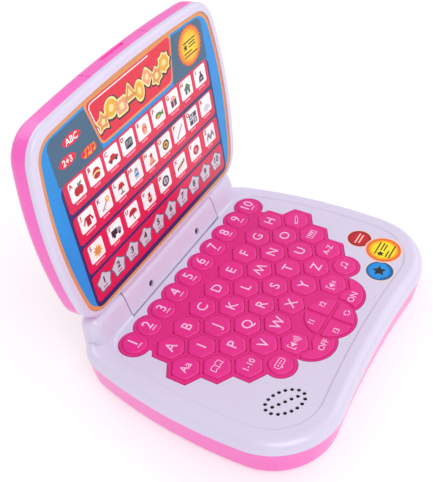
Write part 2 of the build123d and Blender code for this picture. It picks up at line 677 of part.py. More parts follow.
LABEL_T = 0.2
LABELS = [((82.0, -46.0), 9.2), ((78.2, -66.0), 13.4), ((56.8, -71.6), 10.6)]
with BuildPart() as round_labels:
    with BuildSketch(Plane.XY.offset(DECK_Z)):
        for centre, radius in LABELS:
            with Locations(centre):
                Circle(radius)
        with BuildSketch(mode=Mode.PRIVATE) as deck_area:
            base_outline(RIM_WIDTH + SHELL_GAP)
        add(deck_area.sketch, mode=Mode.INTERSECT)
    extrude(amount=LABEL_T)
finish(round_labels, "round_labels")

# ---- lid ----------------------------------------------------------------------------------
BACK_ROUND = 7.0
LID_WALL = 2.0
LID_BACK = LID_FACE - LID_THICK
CATCH_HALF = 30.4
CATCH_LOW = 141.0
CATCH_TOP = 157.6         # above the lid, so that the cut is open at the top
CATCH_GAP = 0.5
SLOT_SIZE = (23.0, 3.2)
SLOT_OUT = -1.6
SLOT_DEPTH = 1.4          # blind
FRAME_ROUND = 2.6
POCKET_LOW = LID_LOW + 3.8
CLOSE_GAP = 0.3           # between the closed lid and the base's knuckles
PLATE_T = 1.8
POCKET_FLOOR = LID_FACE - PANEL_RECESS - PANEL_T
LID_SCREW_SPOTS = [(-82, 26), (82, 26), (-80, 134), (80, 134)]
TAB_HALF = NOTCH_HALF - SIDE_GAP
TAB_END = 12.5            # solid ends of the fairing around the pins
FAIRING_WALL = 2.0
TIP_LIFT = 0.25           # between the fairing tip and the deck
TAB_TIP = (RAMP_FOOT_Y, DECK_Z + TIP_LIFT)
RAMP_SCREW_SPOTS = [(-30.6, -8.0), (30.6, -8.0)]
RAMP_HOLE_R = 2.4
RAMP_HOLE_DEPTH = 2.4
RAMP_HEAD_R = 2.2
RAMP_HEAD_H = 1.0
RAMP_SCREW_L = 4.0
STRIP_BACK = -6.5
STRIP_TOP = LID_LOW + 2.2
STRIP_GAP = 0.3
POST_GAP = 0.1
FRAME_POST_R = 3.2
FRAME_WALL = 4.0
PANEL_GAP = 0.15
OVERCUT = 1.0             # cuts run this far past the face that they open


lid_outward = Axis(origin=(0, 0, 0), direction=lid_plane.z_dir)

with BuildPart() as lid_block:
    with BuildSketch(lid_plane.offset(LID_SEAM)):
        lid_outline()
    extrude(amount=LID_BACK - LID_SEAM)
    back_face = lid_block.faces().sort_by(lid_outward)[0]
    fillet(back_face.edges(), BACK_ROUND)

with BuildPart() as lid_cavity:
    with BuildSketch(lid_plane.offset(LID_SEAM + OVERCUT)):
        lid_outline(LID_WALL)
    extrude(amount=LID_BACK + LID_WALL - LID_SEAM - OVERCUT)
    inner_face = lid_cavity.faces().sort_by(lid_outward)[0]
    fillet(inner_face.edges(), BACK_ROUND - LID_WALL)

with BuildPart() as catch_space:
    with BuildSketch(lid_plane.offset(LID_SEAM)):
        with Locations((0, (CATCH_LOW + CATCH_TOP) / 2)):
            Rectangle(2 * CATCH_HALF, CATCH_TOP - CATCH_LOW)
    extrude(amount=LID_BACK - LID_SEAM)

# what the closed lid has to stay clear of, seen from the open lid
with BuildPart() as knuckle_room:
    with BuildSketch(Plane.YZ.offset(NOTCH_HALF - SIDE_GAP / 2)):
        knuckle_profile(KNUCKLE_R + CLOSE_GAP, (RAMP_FOOT_Y - CLOSE_GAP, DECK_Z))
    extrude(amount=KNUCKLE_END - NOTCH_HALF + SIDE_GAP)
hinge_axis = Axis((0, HINGE_Y, HINGE_Z), (1, 0, 0))
knuckle_relief = knuckle_room.part.rotate(hinge_axis, -(90 + LEAN))
knuckle_reliefs = [knuckle_relief, mirror(knuckle_relief, about=Plane.YZ)]

with BuildPart() as lid_back_shell:
    add(lid_block.part)
    add(lid_cavity.part, mode=Mode.SUBTRACT)
    add(catch_space.part, mode=Mode.SUBTRACT)
    add(knuckle_reliefs, mode=Mode.SUBTRACT)
    # room for the hinge strip of the front frame
    with BuildSketch(lid_plane.offset(STRIP_BACK - STRIP_GAP)):
        with Locations((0, (STRIP_TOP + STRIP_GAP) / 2)):
            Rectangle(2 * (TAB_HALF + STRIP_GAP), STRIP_TOP + STRIP_GAP)
    extrude(amount=LID_SEAM - STRIP_BACK + OVERCUT, mode=Mode.SUBTRACT)
    with BuildSketch(lid_plane.offset(LID_BACK + LID_WALL / 2)):
        with Locations(*LID_SCREW_SPOTS):
            Circle(BOSS_R)
    extrude(amount=-LID_BACK - LID_WALL / 2 - POST_GAP)
    with BuildSketch(lid_plane.offset(LID_BACK)):
        with Locations(*LID_SCREW_SPOTS):
            Circle(PASS_R)
    extrude(amount=-LID_BACK, mode=Mode.SUBTRACT)
    with BuildSketch(lid_plane.offset(LID_BACK)):
        with Locations(*LID_SCREW_SPOTS):
            Circle(HEAD_PASS_R)
    extrude(amount=COUNTERBORE_H, mode=Mode.SUBTRACT)
finish(lid_back_shell, "lid_back_shell")

with BuildPart() as lid_catch:
    with BuildSketch(lid_plane.offset(LID_SEAM)):
        with Locations((0, (CATCH_LOW + CATCH_GAP + CATCH_TOP) / 2)):
            Rectangle(2 * (CATCH_HALF - CATCH_GAP), CATCH_TOP - CATCH_LOW - CATCH_GAP)
    extrude(amount=LID_BACK - LID_SEAM)
    add(lid_block.part, mode=Mode.INTERSECT)
    add(lid_cavity.part, mode=Mode.SUBTRACT)
    slot_spot = lid_plane.from_local_coords((0, LID_TOP, SLOT_OUT))
    with Locations(Plane(slot_spot, x_dir=(1, 0, 0), z_dir=lid_plane.y_dir)):
        Box(*SLOT_SIZE, 2 * SLOT_DEPTH, mode=Mode.SUBTRACT)
finish(lid_catch, "lid_catch")

with BuildPart() as lid_front_frame:
    with BuildSketch(lid_plane.offset(LID_SEAM)):
        lid_outline()
    extrude(amount=LID_FACE - LID_SEAM)
    front_face = lid_front_frame.faces().sort_by(lid_outward)[-1]
    fillet(front_face.edges(), FRAME_ROUND)
    add(knuckle_reliefs, mode=Mode.SUBTRACT)
    with BuildSketch(lid_plane.offset(POCKET_FLOOR)):
        lid_outline(LID_BORDER - PANEL_GAP, low=POCKET_LOW - PANEL_GAP)
    extrude(amount=LID_FACE - POCKET_FLOOR, mode=Mode.SUBTRACT)
    with BuildSketch(lid_plane.offset(LID_SEAM)):
        lid_outline(FRAME_WALL)
    extrude(amount=POCKET_FLOOR - PLATE_T - LID_SEAM, mode=Mode.SUBTRACT)
    with BuildSketch(lid_plane.offset(POST_GAP)):
        with Locations(*LID_SCREW_SPOTS):
            Circle(FRAME_POST_R)
    extrude(amount=POCKET_FLOOR - PLATE_T)
    with BuildSketch(lid_plane.offset(POST_GAP)):
        with Locations(*LID_SCREW_SPOTS):
            Circle(THREAD_R)
    extrude(amount=POCKET_FLOOR - PLATE_T, mode=Mode.SUBTRACT)
    # hinge strip, neck and the round fairing between the base's knuckles
    with BuildSketch(lid_plane.offset(STRIP_BACK)):
        with Locations((0, (LID_LOW + STRIP_TOP) / 2)):
            Rectangle(2 * TAB_HALF, STRIP_TOP - LID_LOW)
    extrude(amount=LID_FACE - FRAME_ROUND - STRIP_BACK)
    with BuildSketch(lid_plane.offset(STRIP_BACK)):
        with Locations((0, (LID_LOW + OVERCUT) / 2)):
            Rectangle(2 * TAB_HALF, LID_LOW + OVERCUT)
    extrude(amount=-2 * STRIP_BACK)
    with BuildSketch(Plane.YZ):
        tip_r = hypot(TAB_TIP[0] - HINGE_Y, TAB_TIP[1] - HINGE_Z)
        tip_a = degrees(atan2(TAB_TIP[1] - HINGE_Z, TAB_TIP[0] - HINGE_Y)) % 360
        spread = degrees(acos(KNUCKLE_R / tip_r))
        with BuildLine() as teardrop:
            CenterArc((HINGE_Y, HINGE_Z), KNUCKLE_R, tip_a + spread, 360 - 2 * spread)
            Polyline(
                hinge_point(KNUCKLE_R, tip_a - spread), TAB_TIP,
                hinge_point(KNUCKLE_R, tip_a + spread),
            )
        make_face(teardrop.edges())
    extrude(amount=TAB_HALF, both=True)
    # two sunk screws in the fairing's ramp
    ramp_turn = radians(tip_a - spread)
    ramp_out = (0, cos(ramp_turn), sin(ramp_turn))
    ramp_spot = (0, *hinge_point(KNUCKLE_R, tip_a - spread))
    ramp_plane = Plane(origin=ramp_spot, x_dir=(1, 0, 0), z_dir=ramp_out)
    with BuildSketch(ramp_plane):
        with Locations(*RAMP_SCREW_SPOTS):
            Circle(RAMP_HOLE_R)
    extrude(amount=-RAMP_HOLE_DEPTH, mode=Mode.SUBTRACT)
    with BuildSketch(ramp_plane):
        with Locations(*RAMP_SCREW_SPOTS):
            Circle(THREAD_R)
    extrude(amount=-RAMP_HOLE_DEPTH - RAMP_SCREW_L - TIP_GAP, mode=Mode.SUBTRACT)
    with BuildSketch(lid_plane.offset(STRIP_BACK + WALL)):
        with Locations((0, STRIP_TOP / 2 - FAIRING_WALL)):
            Rectangle(2 * (TAB_HALF - TAB_END), STRIP_TOP + 2 * FAIRING_WALL)
    extrude(amount=-2 * (STRIP_BACK + WALL), mode=Mode.SUBTRACT)
    with Locations(*[(x, HINGE_Y, HINGE_Z) for x in PIN_SPOTS]):
        Cylinder(PIN_R + PIN_FIT, PIN_LENGTH, rotation=(0, 90, 0), mode=Mode.SUBTRACT)
finish(lid_front_frame, "lid_front_frame")

with BuildPart() as picture_panel:
    with BuildSketch(lid_plane.offset(POCKET_FLOOR)):
        lid_outline(LID_BORDER, low=POCKET_LOW)
    extrude(amount=PANEL_T)
finish(picture_panel, "picture_panel")

with BuildPart() as lid_screws:
    with BuildSketch(lid_plane.offset(LID_BACK + COUNTERBORE_H - SCREW_HEAD_H)):
        with Locations(*LID_SCREW_SPOTS):
            Circle(SCREW_HEAD_R)
    extrude(amount=SCREW_HEAD_H)
    with BuildSketch(lid_plane.offset(LID_BACK + COUNTERBORE_H)):
        with Locations(*LID_SCREW_SPOTS):
            Circle(SCREW_R)
    extrude(amount=POCKET_FLOOR - PLATE_T - TIP_GAP - LID_BACK - COUNTERBORE_H)
    with BuildSketch(lid_plane.offset(LID_BACK + COUNTERBORE_H - SCREW_HEAD_H)):
        with Locations(*LID_SCREW_SPOTS):
            Rectangle(CROSS_L, CROSS_W)
            Rectangle(CROSS_W, CROSS_L)
    extrude(amount=CROSS_W, mode=Mode.SUBTRACT)
    # the two in the fairing
    with BuildSketch(ramp_plane.offset(-RAMP_HOLE_DEPTH)):
        with Locations(*RAMP_SCREW_SPOTS):
            Circle(RAMP_HEAD_R)
    extrude(amount=RAMP_HEAD_H)
    with BuildSketch(ramp_plane.offset(-RAMP_HOLE_DEPTH)):
        with Locations(*RAMP_SCREW_SPOTS):
            Circle(SCREW_R)
    extrude(amount=-RAMP_SCREW_L)
    with BuildSketch(ramp_plane.offset(RAMP_HEAD_H - RAMP_HOLE_DEPTH)):
        with Locations(*RAMP_SCREW_SPOTS):
            Rectangle(CROSS_L, CROSS_W)
            Rectangle(CROSS_W, CROSS_L)
    extrude(amount=-CROSS_W, mode=Mode.SUBTRACT)
finish(lid_screws, "lid_screws")
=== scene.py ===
import json
import math

import bmesh
import bpy
from mathutils import Matrix, Vector

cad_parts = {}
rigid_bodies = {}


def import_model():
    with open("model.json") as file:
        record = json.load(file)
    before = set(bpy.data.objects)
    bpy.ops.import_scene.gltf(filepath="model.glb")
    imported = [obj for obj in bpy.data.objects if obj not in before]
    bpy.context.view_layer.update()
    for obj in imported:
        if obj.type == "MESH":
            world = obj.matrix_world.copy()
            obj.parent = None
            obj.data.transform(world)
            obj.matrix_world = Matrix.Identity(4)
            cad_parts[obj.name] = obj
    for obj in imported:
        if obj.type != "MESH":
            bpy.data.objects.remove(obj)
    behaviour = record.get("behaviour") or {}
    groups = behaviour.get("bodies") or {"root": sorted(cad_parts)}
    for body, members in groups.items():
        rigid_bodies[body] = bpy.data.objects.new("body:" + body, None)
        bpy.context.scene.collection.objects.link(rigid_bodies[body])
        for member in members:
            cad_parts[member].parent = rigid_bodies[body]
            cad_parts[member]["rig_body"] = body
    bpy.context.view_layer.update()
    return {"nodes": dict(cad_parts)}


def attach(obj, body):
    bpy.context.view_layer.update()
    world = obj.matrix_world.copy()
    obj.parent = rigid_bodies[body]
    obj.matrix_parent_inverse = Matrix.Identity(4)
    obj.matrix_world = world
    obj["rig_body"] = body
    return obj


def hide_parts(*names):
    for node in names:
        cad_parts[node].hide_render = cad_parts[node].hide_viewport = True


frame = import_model()

# lengths below are in millimetres, and MM turns them into Blender's metres
MM = 0.001
LEAN = math.radians(6.5)                  # how far the open lid leans back
HINGE = Vector((0.0, 71.2, 43.4)) * MM
LID_UP = Vector((0.0, math.sin(LEAN), math.cos(LEAN)))
LID_OUT = Vector((0.0, -math.cos(LEAN), math.sin(LEAN)))
PANEL_FACE = 8.6           # picture panel's printed face, in front of the hinge axis
KEY_FOOT = 28.6            # undersides of the keys
KEY_TOP = 33.0
DECK = 32.0                # the base's upper face
FIRST_ROW_Y, ROW_STEP = 21.25, 17.32      # rows of letter keys


# ---- materials ----------------------------------------------------------------------------
RELIEF = 0.0003            # height in metres that a full step of bump stands for
LEAST_ROUGHNESS = 0.02
CLOUD_DETAIL = 1.5         # low, because a finer cloud looks like veins in the gloss
CLOUD_DARK, CLOUD_LIGHT = 0.3, 0.7        # the noise values where the mottle ends
PRINT_GLOSS, PRINT_GRAIN = 0.3, 1500.0


def srgb(r, g, b):
    """Linear values of a colour given as 0 to 255."""
    def one(v):
        v /= 255
        return v / 12.92 if v <= 0.04045 else ((v + 0.055) / 1.055) ** 2.4
    return tuple(one(v) for v in (r, g, b))


def plain(name, color, roughness, **sockets):
    """A one-colour material; other sockets are named with _ for each space."""
    m = bpy.data.materials.new(name)
    m.use_nodes = True
    bsdf = m.node_tree.nodes["Principled BSDF"]
    bsdf.inputs["Base Color"].default_value = (*color, 1)
    bsdf.inputs["Roughness"].default_value = roughness
    for key, value in sockets.items():
        bsdf.inputs[key.replace("_", " ")].default_value = value
    return m


def noise(tree, scale, detail=3.0):
    """Noise fixed to the object, with scale in waves to the metre."""
    where = tree.nodes.new("ShaderNodeTexCoord")
    n = tree.nodes.new("ShaderNodeTexNoise")
    n.inputs["Scale"].default_value = scale
    n.inputs["Detail"].default_value = detail
    tree.links.new(where.outputs["Object"], n.inputs["Vector"])
    return n


def ramp(tree, factor, *stops):
    """Colour stops as (place from 0 to 1, colour)."""
    r = tree.nodes.new("ShaderNodeValToRGB")
    elements = r.color_ramp.elements
    while len(elements) < len(stops):
        elements.new(0.5)
    for element, (spot, color) in zip(elements, stops):
        element.position = spot
        element.color = (*color, 1)
    tree.links.new(factor, r.inputs["Fac"])
    return r


def add_grain(m, roughness, grain, bump, cloud, uneven=0.06):
    """Fine relief, and gloss that is a little uneven where the cloud noise is."""
    tree = m.node_tree
    bsdf = tree.nodes["Principled BSDF"]
    spread = tree.nodes.new("ShaderNodeMapRange")
    spread.inputs["To Min"].default_value = max(LEAST_ROUGHNESS, roughness - uneven)
    spread.inputs["To Max"].default_value = roughness + uneven
    tree.links.new(cloud.outputs["Fac"], spread.inputs["Value"])
    tree.links.new(spread.outputs["Result"], bsdf.inputs["Roughness"])
    relief = tree.nodes.new("ShaderNodeBump")
    relief.inputs["Strength"].default_value = bump
    relief.inputs["Distance"].default_value = RELIEF
    tree.links.new(noise(tree, grain).outputs["Fac"], relief.inputs["Height"])
    tree.links.new(relief.outputs["Normal"], bsdf.inputs["Normal"])


def surface(
    name, color, roughness, grain=900.0, bump=0.02, mottle=0.03, broad=22.0, uneven=0.06, **sockets
):
    """Moulded plastic, rubber or print: slight mottle in its colour, fine grain, uneven gloss."""
    m = plain(name, color, roughness, **sockets)
    tree = m.node_tree
    cloud = noise(tree, broad, CLOUD_DETAIL)
    dark = tuple(c * (1 - mottle) for c in color)
    light = tuple(min(1, c * (1 + mottle)) for c in color)
    tone = ramp(tree, cloud.outputs["Fac"], (CLOUD_DARK, dark), (CLOUD_LIGHT, light))
    tree.links.new(tone.outputs["Color"], tree.nodes["Principled BSDF"].inputs["Base Color"])
    add_grain(m, roughness, grain, bump, cloud, uneven)
    return m


def glow_disc(name, centre, radius, *stops):
    """A printed disc whose colour changes from its middle to its edge."""
    m = plain(name, stops[0][1], PRINT_GLOSS)
    tree = m.node_tree
    where = tree.nodes.new("ShaderNodeTexCoord")
    away = tree.nodes.new("ShaderNodeVectorMath")
    away.operation = "DISTANCE"
    away.inputs[1].default_value = centre
    tree.links.new(where.outputs["Object"], away.inputs[0])
    part = tree.nodes.new("ShaderNodeMath")
    part.operation = "DIVIDE"
    part.inputs[1].default_value = radius * MM
    tree.links.new(away.outputs["Value"], part.inputs[0])
    tone = ramp(tree, part.outputs["Value"], *stops)
    tree.links.new(tone.outputs["Color"], tree.nodes["Principled BSDF"].inputs["Base Color"])
    add_grain(m, PRINT_GLOSS, PRINT_GRAIN, 0.01, noise(tree, 60.0, 4.0))
    return m


lilac = surface(
    "lilac_plastic", srgb(217, 208, 233), 0.27, mottle=0.012, uneven=0.03,
    Coat_Weight=0.35, Coat_Roughness=0.12,
)
pink = surface(
    "pink_plastic", srgb(246, 96, 194), 0.30, mottle=0.02, uneven=0.03,
    Coat_Weight=0.3, Coat_Roughness=0.12,
)
# the web is the keys' own rubber, painted a shade darker: painted shade for the grooves between the keys
shaded_web_rubber = surface("keypad_rubber", srgb(222, 28, 130), 0.60, bump=0.05)
key_rubber = surface("key_rubber", srgb(230, 36, 140), 0.44, bump=0.04)
legend_ink = surface("legend_ink", srgb(255, 196, 232), 0.5, grain=1600.0, bump=0.03, mottle=0.05)
foot_rubber = surface("foot_rubber", srgb(70, 66, 74), 0.75, bump=0.08)
steel = surface("screw_steel", srgb(126, 124, 130), 0.35, bump=0.05, Metallic=1.0)
black_metal = surface("speaker_metal", srgb(30, 30, 32), 0.5)
green_board = surface("board_laminate", srgb(30, 100, 60), 0.4)
sleeve = surface("battery_sleeve", srgb(60, 62, 75), 0.35)
red_cover = surface("lead_cover", srgb(170, 30, 30), 0.5)

NODE_LOOKS = {
    lilac: ("base_top_shell", "lid_front_frame"),
    pink: ("base_bottom_shell", "lid_back_shell", "lid_catch", "battery_cover"),
    shaded_web_rubber: ("keypad_sheet",),
    foot_rubber: ("rubber_feet",),
    steel: ("case_screws", "lid_screws", "hinge_pins", "battery_contacts"),
    black_metal: ("speaker",),
    green_board: ("circuit_board",),
    sleeve: ("batteries",),
    red_cover: ("speaker_leads",),
}
for look, members in NODE_LOOKS.items():
    for member in members:
        for material_slot in frame["nodes"][member].material_slots:
            material_slot.material = look


# ---- flat shapes --------------------------------------------------------------------------
ELLIPSE_STEPS = 32
SIDE_SHARE = 1 / 2.05      # most of a side that the curve of one corner takes
LEAST_MITRE = 0.5          # a sharper corner of a line is cut short


def place_on_lid(x, y, z):
    """Across the lid, up it from the hinge axis, and out of its face."""
    return HINGE + Vector((x, 0, 0)) * MM + LID_UP * (y * MM) + LID_OUT * (z * MM)


def place_on_deck(x, y, z):
    return Vector((x, y, z)) * MM


def ellipse(x, y, rx, ry=None, turn=0.0, steps=ELLIPSE_STEPS):
    """A circle, or an ellipse when it has a second radius, turned by an angle in radians."""
    ry = rx if ry is None else ry
    c, s = math.cos(turn), math.sin(turn)
    out = []
    for n in range(steps):
        a = 2 * math.pi * n / steps
        u, v = rx * math.cos(a), ry * math.sin(a)
        out.append((x + u * c - v * s, y + u * s + v * c))
    return out


def arc(x, y, r, start, end, steps=10):
    """Points along a circle, between two angles in degrees."""
    turns = [math.radians(start + (end - start) * n / steps) for n in range(steps + 1)]
    return [(x + r * math.cos(a), y + r * math.sin(a)) for a in turns]


def box_shape(x0, y0, x1, y1):
    return [(x0, y0), (x1, y0), (x1, y1), (x0, y1)]


def rounded(points, radius, steps=4):
    """The outline with each corner turned into a short curve."""
    out = []
    count = len(points)
    for n, corner in enumerate(points):
        p = Vector(corner)
        ends = []
        for near in (points[n - 1], points[(n + 1) % count]):
            run = Vector(near) - p
            ends.append(p + run.normalized() * min(radius, run.length * SIDE_SHARE))
        for k in range(steps + 1):
            t = k / steps
            out.append(tuple(ends[0].lerp(p, t).lerp(p.lerp(ends[1], t), t)))
    return out


def star(x, y, r, inner=0.5, tips=5, turn=90.0):
    """A star whose notches lie at a share of its radius."""
    out = []
    for n in range(2 * tips):
        a = math.radians(turn + 180 * n / tips)
        s = r if n % 2 == 0 else r * inner
        out.append((x + s * math.cos(a), y + s * math.sin(a)))
    return out


def stroke(points, width):
    """A line of even width along the points."""
    left, right = [], []
    line = [Vector(p) for p in points]
    for n, p in enumerate(line):
        before = (p - line[n - 1]).normalized() if n else (line[1] - p).normalized()
        after = (line[n + 1] - p).normalized() if n + 1 < len(line) else before
        along = (before + after).normalized()
        across = Vector((-along.y, along.x))
        reach = width / 2 / max(LEAST_MITRE, across.dot(Vector((-before.y, before.x))))
        left.append(tuple(p + across * reach))
        right.append(tuple(p - across * reach))
    return left + right[::-1]


def moved(outline, x, y, scale=1.0):
    return [(x + u * scale, y + v * scale) for u, v in outline]


def leftwards(outline):
    """The outline, turned so that it runs with its inside on the left."""
    area = sum(a[0] * b[1] - b[0] * a[1] for a, b in zip(outline, outline[1:] + outline[:1]))
    return outline if area > 0 else outline[::-1]


def add_walls(bm, lower, upper):
    """A band of faces between two rings of vertices."""
    for n in range(len(lower)):
        m = (n + 1) % len(lower)
        bm.faces.new((lower[n], lower[m], upper[m], upper[n]))


def add_plate(bm, outline, low, high, place):
    """A thin closed plate with the given outline."""
    outline = leftwards(outline)
    bottom = [bm.verts.new(place(x, y, low)) for x, y in outline]
    top = [bm.verts.new(place(x, y, high)) for x, y in outline]
    bm.faces.new(top)
    bm.faces.new(bottom[::-1])
    add_walls(bm, bottom, top)


FONT_STEPS = 3             # points along each curve of a character
SAME_POINT = 1e-5          # at text size 1


def glyphs(words, weight):
    """The words as a flat mesh at text size 1, with lines made thicker by the weight."""
    data = bpy.data.curves.new("words", "FONT")
    data.body = words
    data.align_x = "CENTER"
    data.offset = weight
    data.resolution_u = FONT_STEPS
    holder = bpy.data.objects.new("words", data)
    bpy.context.scene.collection.objects.link(holder)
    bpy.context.view_layer.update()
    mesh = bpy.data.meshes.new_from_object(
        holder.evaluated_get(bpy.context.evaluated_depsgraph_get())
    )
    bpy.data.objects.remove(holder)
    bpy.data.curves.remove(data)
    return mesh


CAP = max(v.co.y for v in glyphs("H", 0.0).vertices)
HAIR = 0.008               # what one overlapping mark stands above another
# the lines of a 4 at text size 1
FOUR = ([(0.1, 0.0), (0.1, 0.69)], [(0.1, 0.66), (-0.2, 0.25), (0.22, 0.25)])
FONT_LINE = 0.1            # width of the font's lines at text size 1


def add_words(bm, words, x, y, height, low, high, place, weight=0.006):
    """Raised or printed characters, centred on a spot; height is that of a capital.
    The font's M and 4 overlap themselves, so a W turned round and two lines stand in."""
    if words == "4":
        for n, line in enumerate(FOUR):
            outline = moved(stroke(line, FONT_LINE + 2 * weight), x, y - height / 2, height / CAP)
            add_plate(bm, outline, low, high + HAIR * n, place)
        return
    turned = words == "M"
    mesh = glyphs("W" if turned else words, weight)
    part = bmesh.new()
    part.from_mesh(mesh)
    bpy.data.meshes.remove(mesh)
    bmesh.ops.remove_doubles(part, verts=part.verts, dist=SAME_POINT)
    lifted = bmesh.ops.extrude_face_region(part, geom=part.faces[:])
    top = {v for v in lifted["geom"] if isinstance(v, bmesh.types.BMVert)}
    scale = height / CAP
    for v in part.verts:
        u, rise = (-v.co.x, CAP - v.co.y) if turned else v.co.xy
        v.co = place(x + u * scale, y + rise * scale - height / 2, high if v in top else low)
    done = bpy.data.meshes.new("words")
    part.to_mesh(done)
    part.free()
    bm.from_mesh(done)
    bpy.data.meshes.remove(done)


def piece(name, bm, material, body, smooth=False, nodes=()):
    """The finished mesh as an object that rides on a body and may replace CAD nodes."""
    mesh = bpy.data.meshes.new(name)
    bm.to_mesh(mesh)
    bm.free()
    for polygon in mesh.polygons:
        polygon.use_smooth = smooth
    mesh.materials.append(material)
    o = bpy.data.objects.new(name, mesh)
    bpy.context.scene.collection.objects.link(o)
    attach(o, body)
    if nodes:
        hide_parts(*nodes)
    return o


SAME_LEVEL = 0.01          # how far a corner may lie from the plane


def outlines(node, level, axes):
    """Loops around the flat faces of a CAD node that lie at one level, in millimetres.
    axes gives the plane's origin and its across, up and out directions."""
    origin, across, up, out = axes
    mesh = frame["nodes"][node].data
    flat = []
    for v in mesh.vertices:
        d = (v.co - origin) / MM
        flat.append((round(d.dot(across), 3), round(d.dot(up), 3), d.dot(out)))
    after = {}
    seen = set()
    for polygon in mesh.polygons:
        corners = [flat[k] for k in polygon.vertices]
        if any(abs(c[2] - level) > SAME_LEVEL for c in corners):
            continue
        ring = [c[:2] for c in corners]
        for a, b in zip(ring, ring[1:] + ring[:1]):
            if a != b:
                seen.add((a, b))
    for a, b in seen:
        if (b, a) not in seen:
            after[a] = b
    loops = []
    while after:
        start, here = after.popitem()
        loop = [start]
        while here != start:
            loop.append(here)
            here = after.pop(here)
        loops.append(leftwards(loop))
    return loops


def middle(loop):
    """The middle of the box around a loop."""
    xs, ys = zip(*loop)
    return (min(xs) + max(xs)) / 2, (min(ys) + max(ys)) / 2


DECK_AXES = (Vector((0, 0, 0)), Vector((1, 0, 0)), Vector((0, 1, 0)), Vector((0, 0, 1)))
LID_AXES = (HINGE, Vector((1, 0, 0)), LID_UP, LID_OUT)

# ---- keys ---------------------------------------------------------------------------------
# each step goes (inwards, up) from the straight side to the middle of the key's top
SHOULDER = [(0.12, 0.34), (0.3, 0.3), (0.4, 0.18), (0.45, 0.1), (0.3, 0.03), (0.25, 0.0)]
CORNER = 1.7               # rounding at the corners of a six-sided key
NARROW_SHOULDER = [(0.08, 0.3), (0.14, 0.24), (0.2, 0.16), (0.3, 0.08), (0.15, 0.0)]
RING = [(0.2, 0.0), (0.25, -0.16), (0.3, 0.0), (0.25, 0.16), (0.3, 0.0)]
ODD_KEYS = ("key_on", "key_off", "keys_quiz")
ROUND_FROM = 12            # an outline with fewer points has straight sides


def add_key(bm, outline, steps):
    """A soft key: straight sides, a rounded shoulder and an almost flat top."""
    rise = sum(step[1] for step in steps)
    side_top = KEY_TOP - rise
    bottom = [bm.verts.new(place_on_deck(x, y, KEY_FOOT)) for x, y in outline]
    top = [bm.verts.new(place_on_deck(x, y, side_top)) for x, y in outline]
    bm.faces.new(bottom[::-1])
    add_walls(bm, bottom, top)
    lid = bm.faces.new(top)
    lid.normal_update()
    for thickness, depth in steps:
        bmesh.ops.inset_region(
            bm, faces=[lid], thickness=thickness * MM, depth=depth * MM, use_even_offset=True
        )
        lid.normal_update()


def thinned(outline, least=0.2):
    """The outline without points that are nearly on top of each other."""
    out = []
    for p in outline:
        if not out or math.dist(p, out[-1]) > least:
            out.append(p)
    if math.dist(out[0], out[-1]) <= least:
        out.pop()
    return out


key_nodes = [n for n in frame["nodes"] if n.startswith("key") and n != "keypad_sheet"]
key_middles = {}
for node in key_nodes:
    loops = outlines(node, KEY_FOOT, DECK_AXES)
    key_middles[node] = [middle(loop) for loop in loops]
    made = bmesh.new()
    for loop in loops:
        if node in ODD_KEYS:
            add_key(made, thinned(loop), NARROW_SHOULDER)
        elif len(loop) < ROUND_FROM:
            add_key(made, rounded(loop, CORNER), SHOULDER)
        else:
            add_key(made, loop, SHOULDER + RING)
    body_name = frame["nodes"][node]["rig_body"]
    piece("soft_" + node, made, key_rubber, body_name, True, (node,))

# ---- legends on the keys ------------------------------------------------------------------
INK_LOW, INK_HIGH = KEY_TOP - 0.1, KEY_TOP + 0.035
HAIR_STEPS = 7             # marks in a row that each get a height of their own
LETTER_HEIGHT, NUMBER_HEIGHT, NUMBER_LIFT = 7.0, 7.4, 1.6
BAR_COUNT, BAR_WIDE, BAR_STEP = 4, 0.95, 1.25        # the bars below a number
BAR_LOW, BAR_HIGH = -4.4, -3.5
WAVE_LINE, LINE, RIM_LINE, THIN_LINE = 0.55, 0.5, 0.45, 0.35
OFF_WORD, ON_WORD = ("OFF", -23.6, -65.2, 4.0), ("ON", 24.0, -65.0, 4.4)


def legend(node, *marks):
    """Marks are words as (text, x, y, height) or outlines as lists of points.
    Neighbours stand a hair apart, so that those that overlap share no face."""
    bm = bmesh.new()
    for n, mark in enumerate(marks):
        high = INK_HIGH + HAIR * (n % HAIR_STEPS)
        if isinstance(mark, tuple):
            add_words(bm, *mark, INK_LOW, high, place_on_deck)
        else:
            add_plate(bm, mark, INK_LOW, high, place_on_deck)
    piece("legend_" + node, bm, legend_ink, frame["nodes"][node]["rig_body"])


for node in key_nodes:
    name = node.removeprefix("key_")
    x, y = key_middles[node][0]
    if name.isdigit():
        marks = [(name, x, y + NUMBER_LIFT, NUMBER_HEIGHT)]
        for n in range(BAR_COUNT):
            left = x + (n - BAR_COUNT / 2) * BAR_STEP + (BAR_STEP - BAR_WIDE) / 2
            marks.append(box_shape(left, y + BAR_LOW, left + BAR_WIDE, y + BAR_HIGH))
        legend(node, *marks)
    elif len(name) == 1:
        legend(node, (name.upper(), x, y, LETTER_HEIGHT))


def speaker_mark(x, y, waves):
    """A loudspeaker in an open bracket, with its sound waves."""
    bracket = [(-3.4, 2.9), (-5.2, 2.9), (-5.2, -2.9), (-3.4, -2.9)]
    cone = [(-3.6, -0.9), (-2.5, -0.9), (-0.7, -2.5), (-0.7, 2.5), (-2.5, 0.9), (-3.6, 0.9)]
    marks = [stroke(moved(bracket, x, y), WAVE_LINE), moved(cone, x, y)]
    for n in range(waves):
        wave = arc(x - 0.9 + 0.3 * n, y, 1.6 + 1.15 * n, -38, 38, 8)
        marks.append(stroke(wave, WAVE_LINE))
    return marks


legend("key_loud", *speaker_mark(*key_middles["key_loud"][0], 4))
legend("key_soft", *speaker_mark(*key_middles["key_soft"][0], 2))
legend("key_off", OFF_WORD)
legend("key_on", ON_WORD)


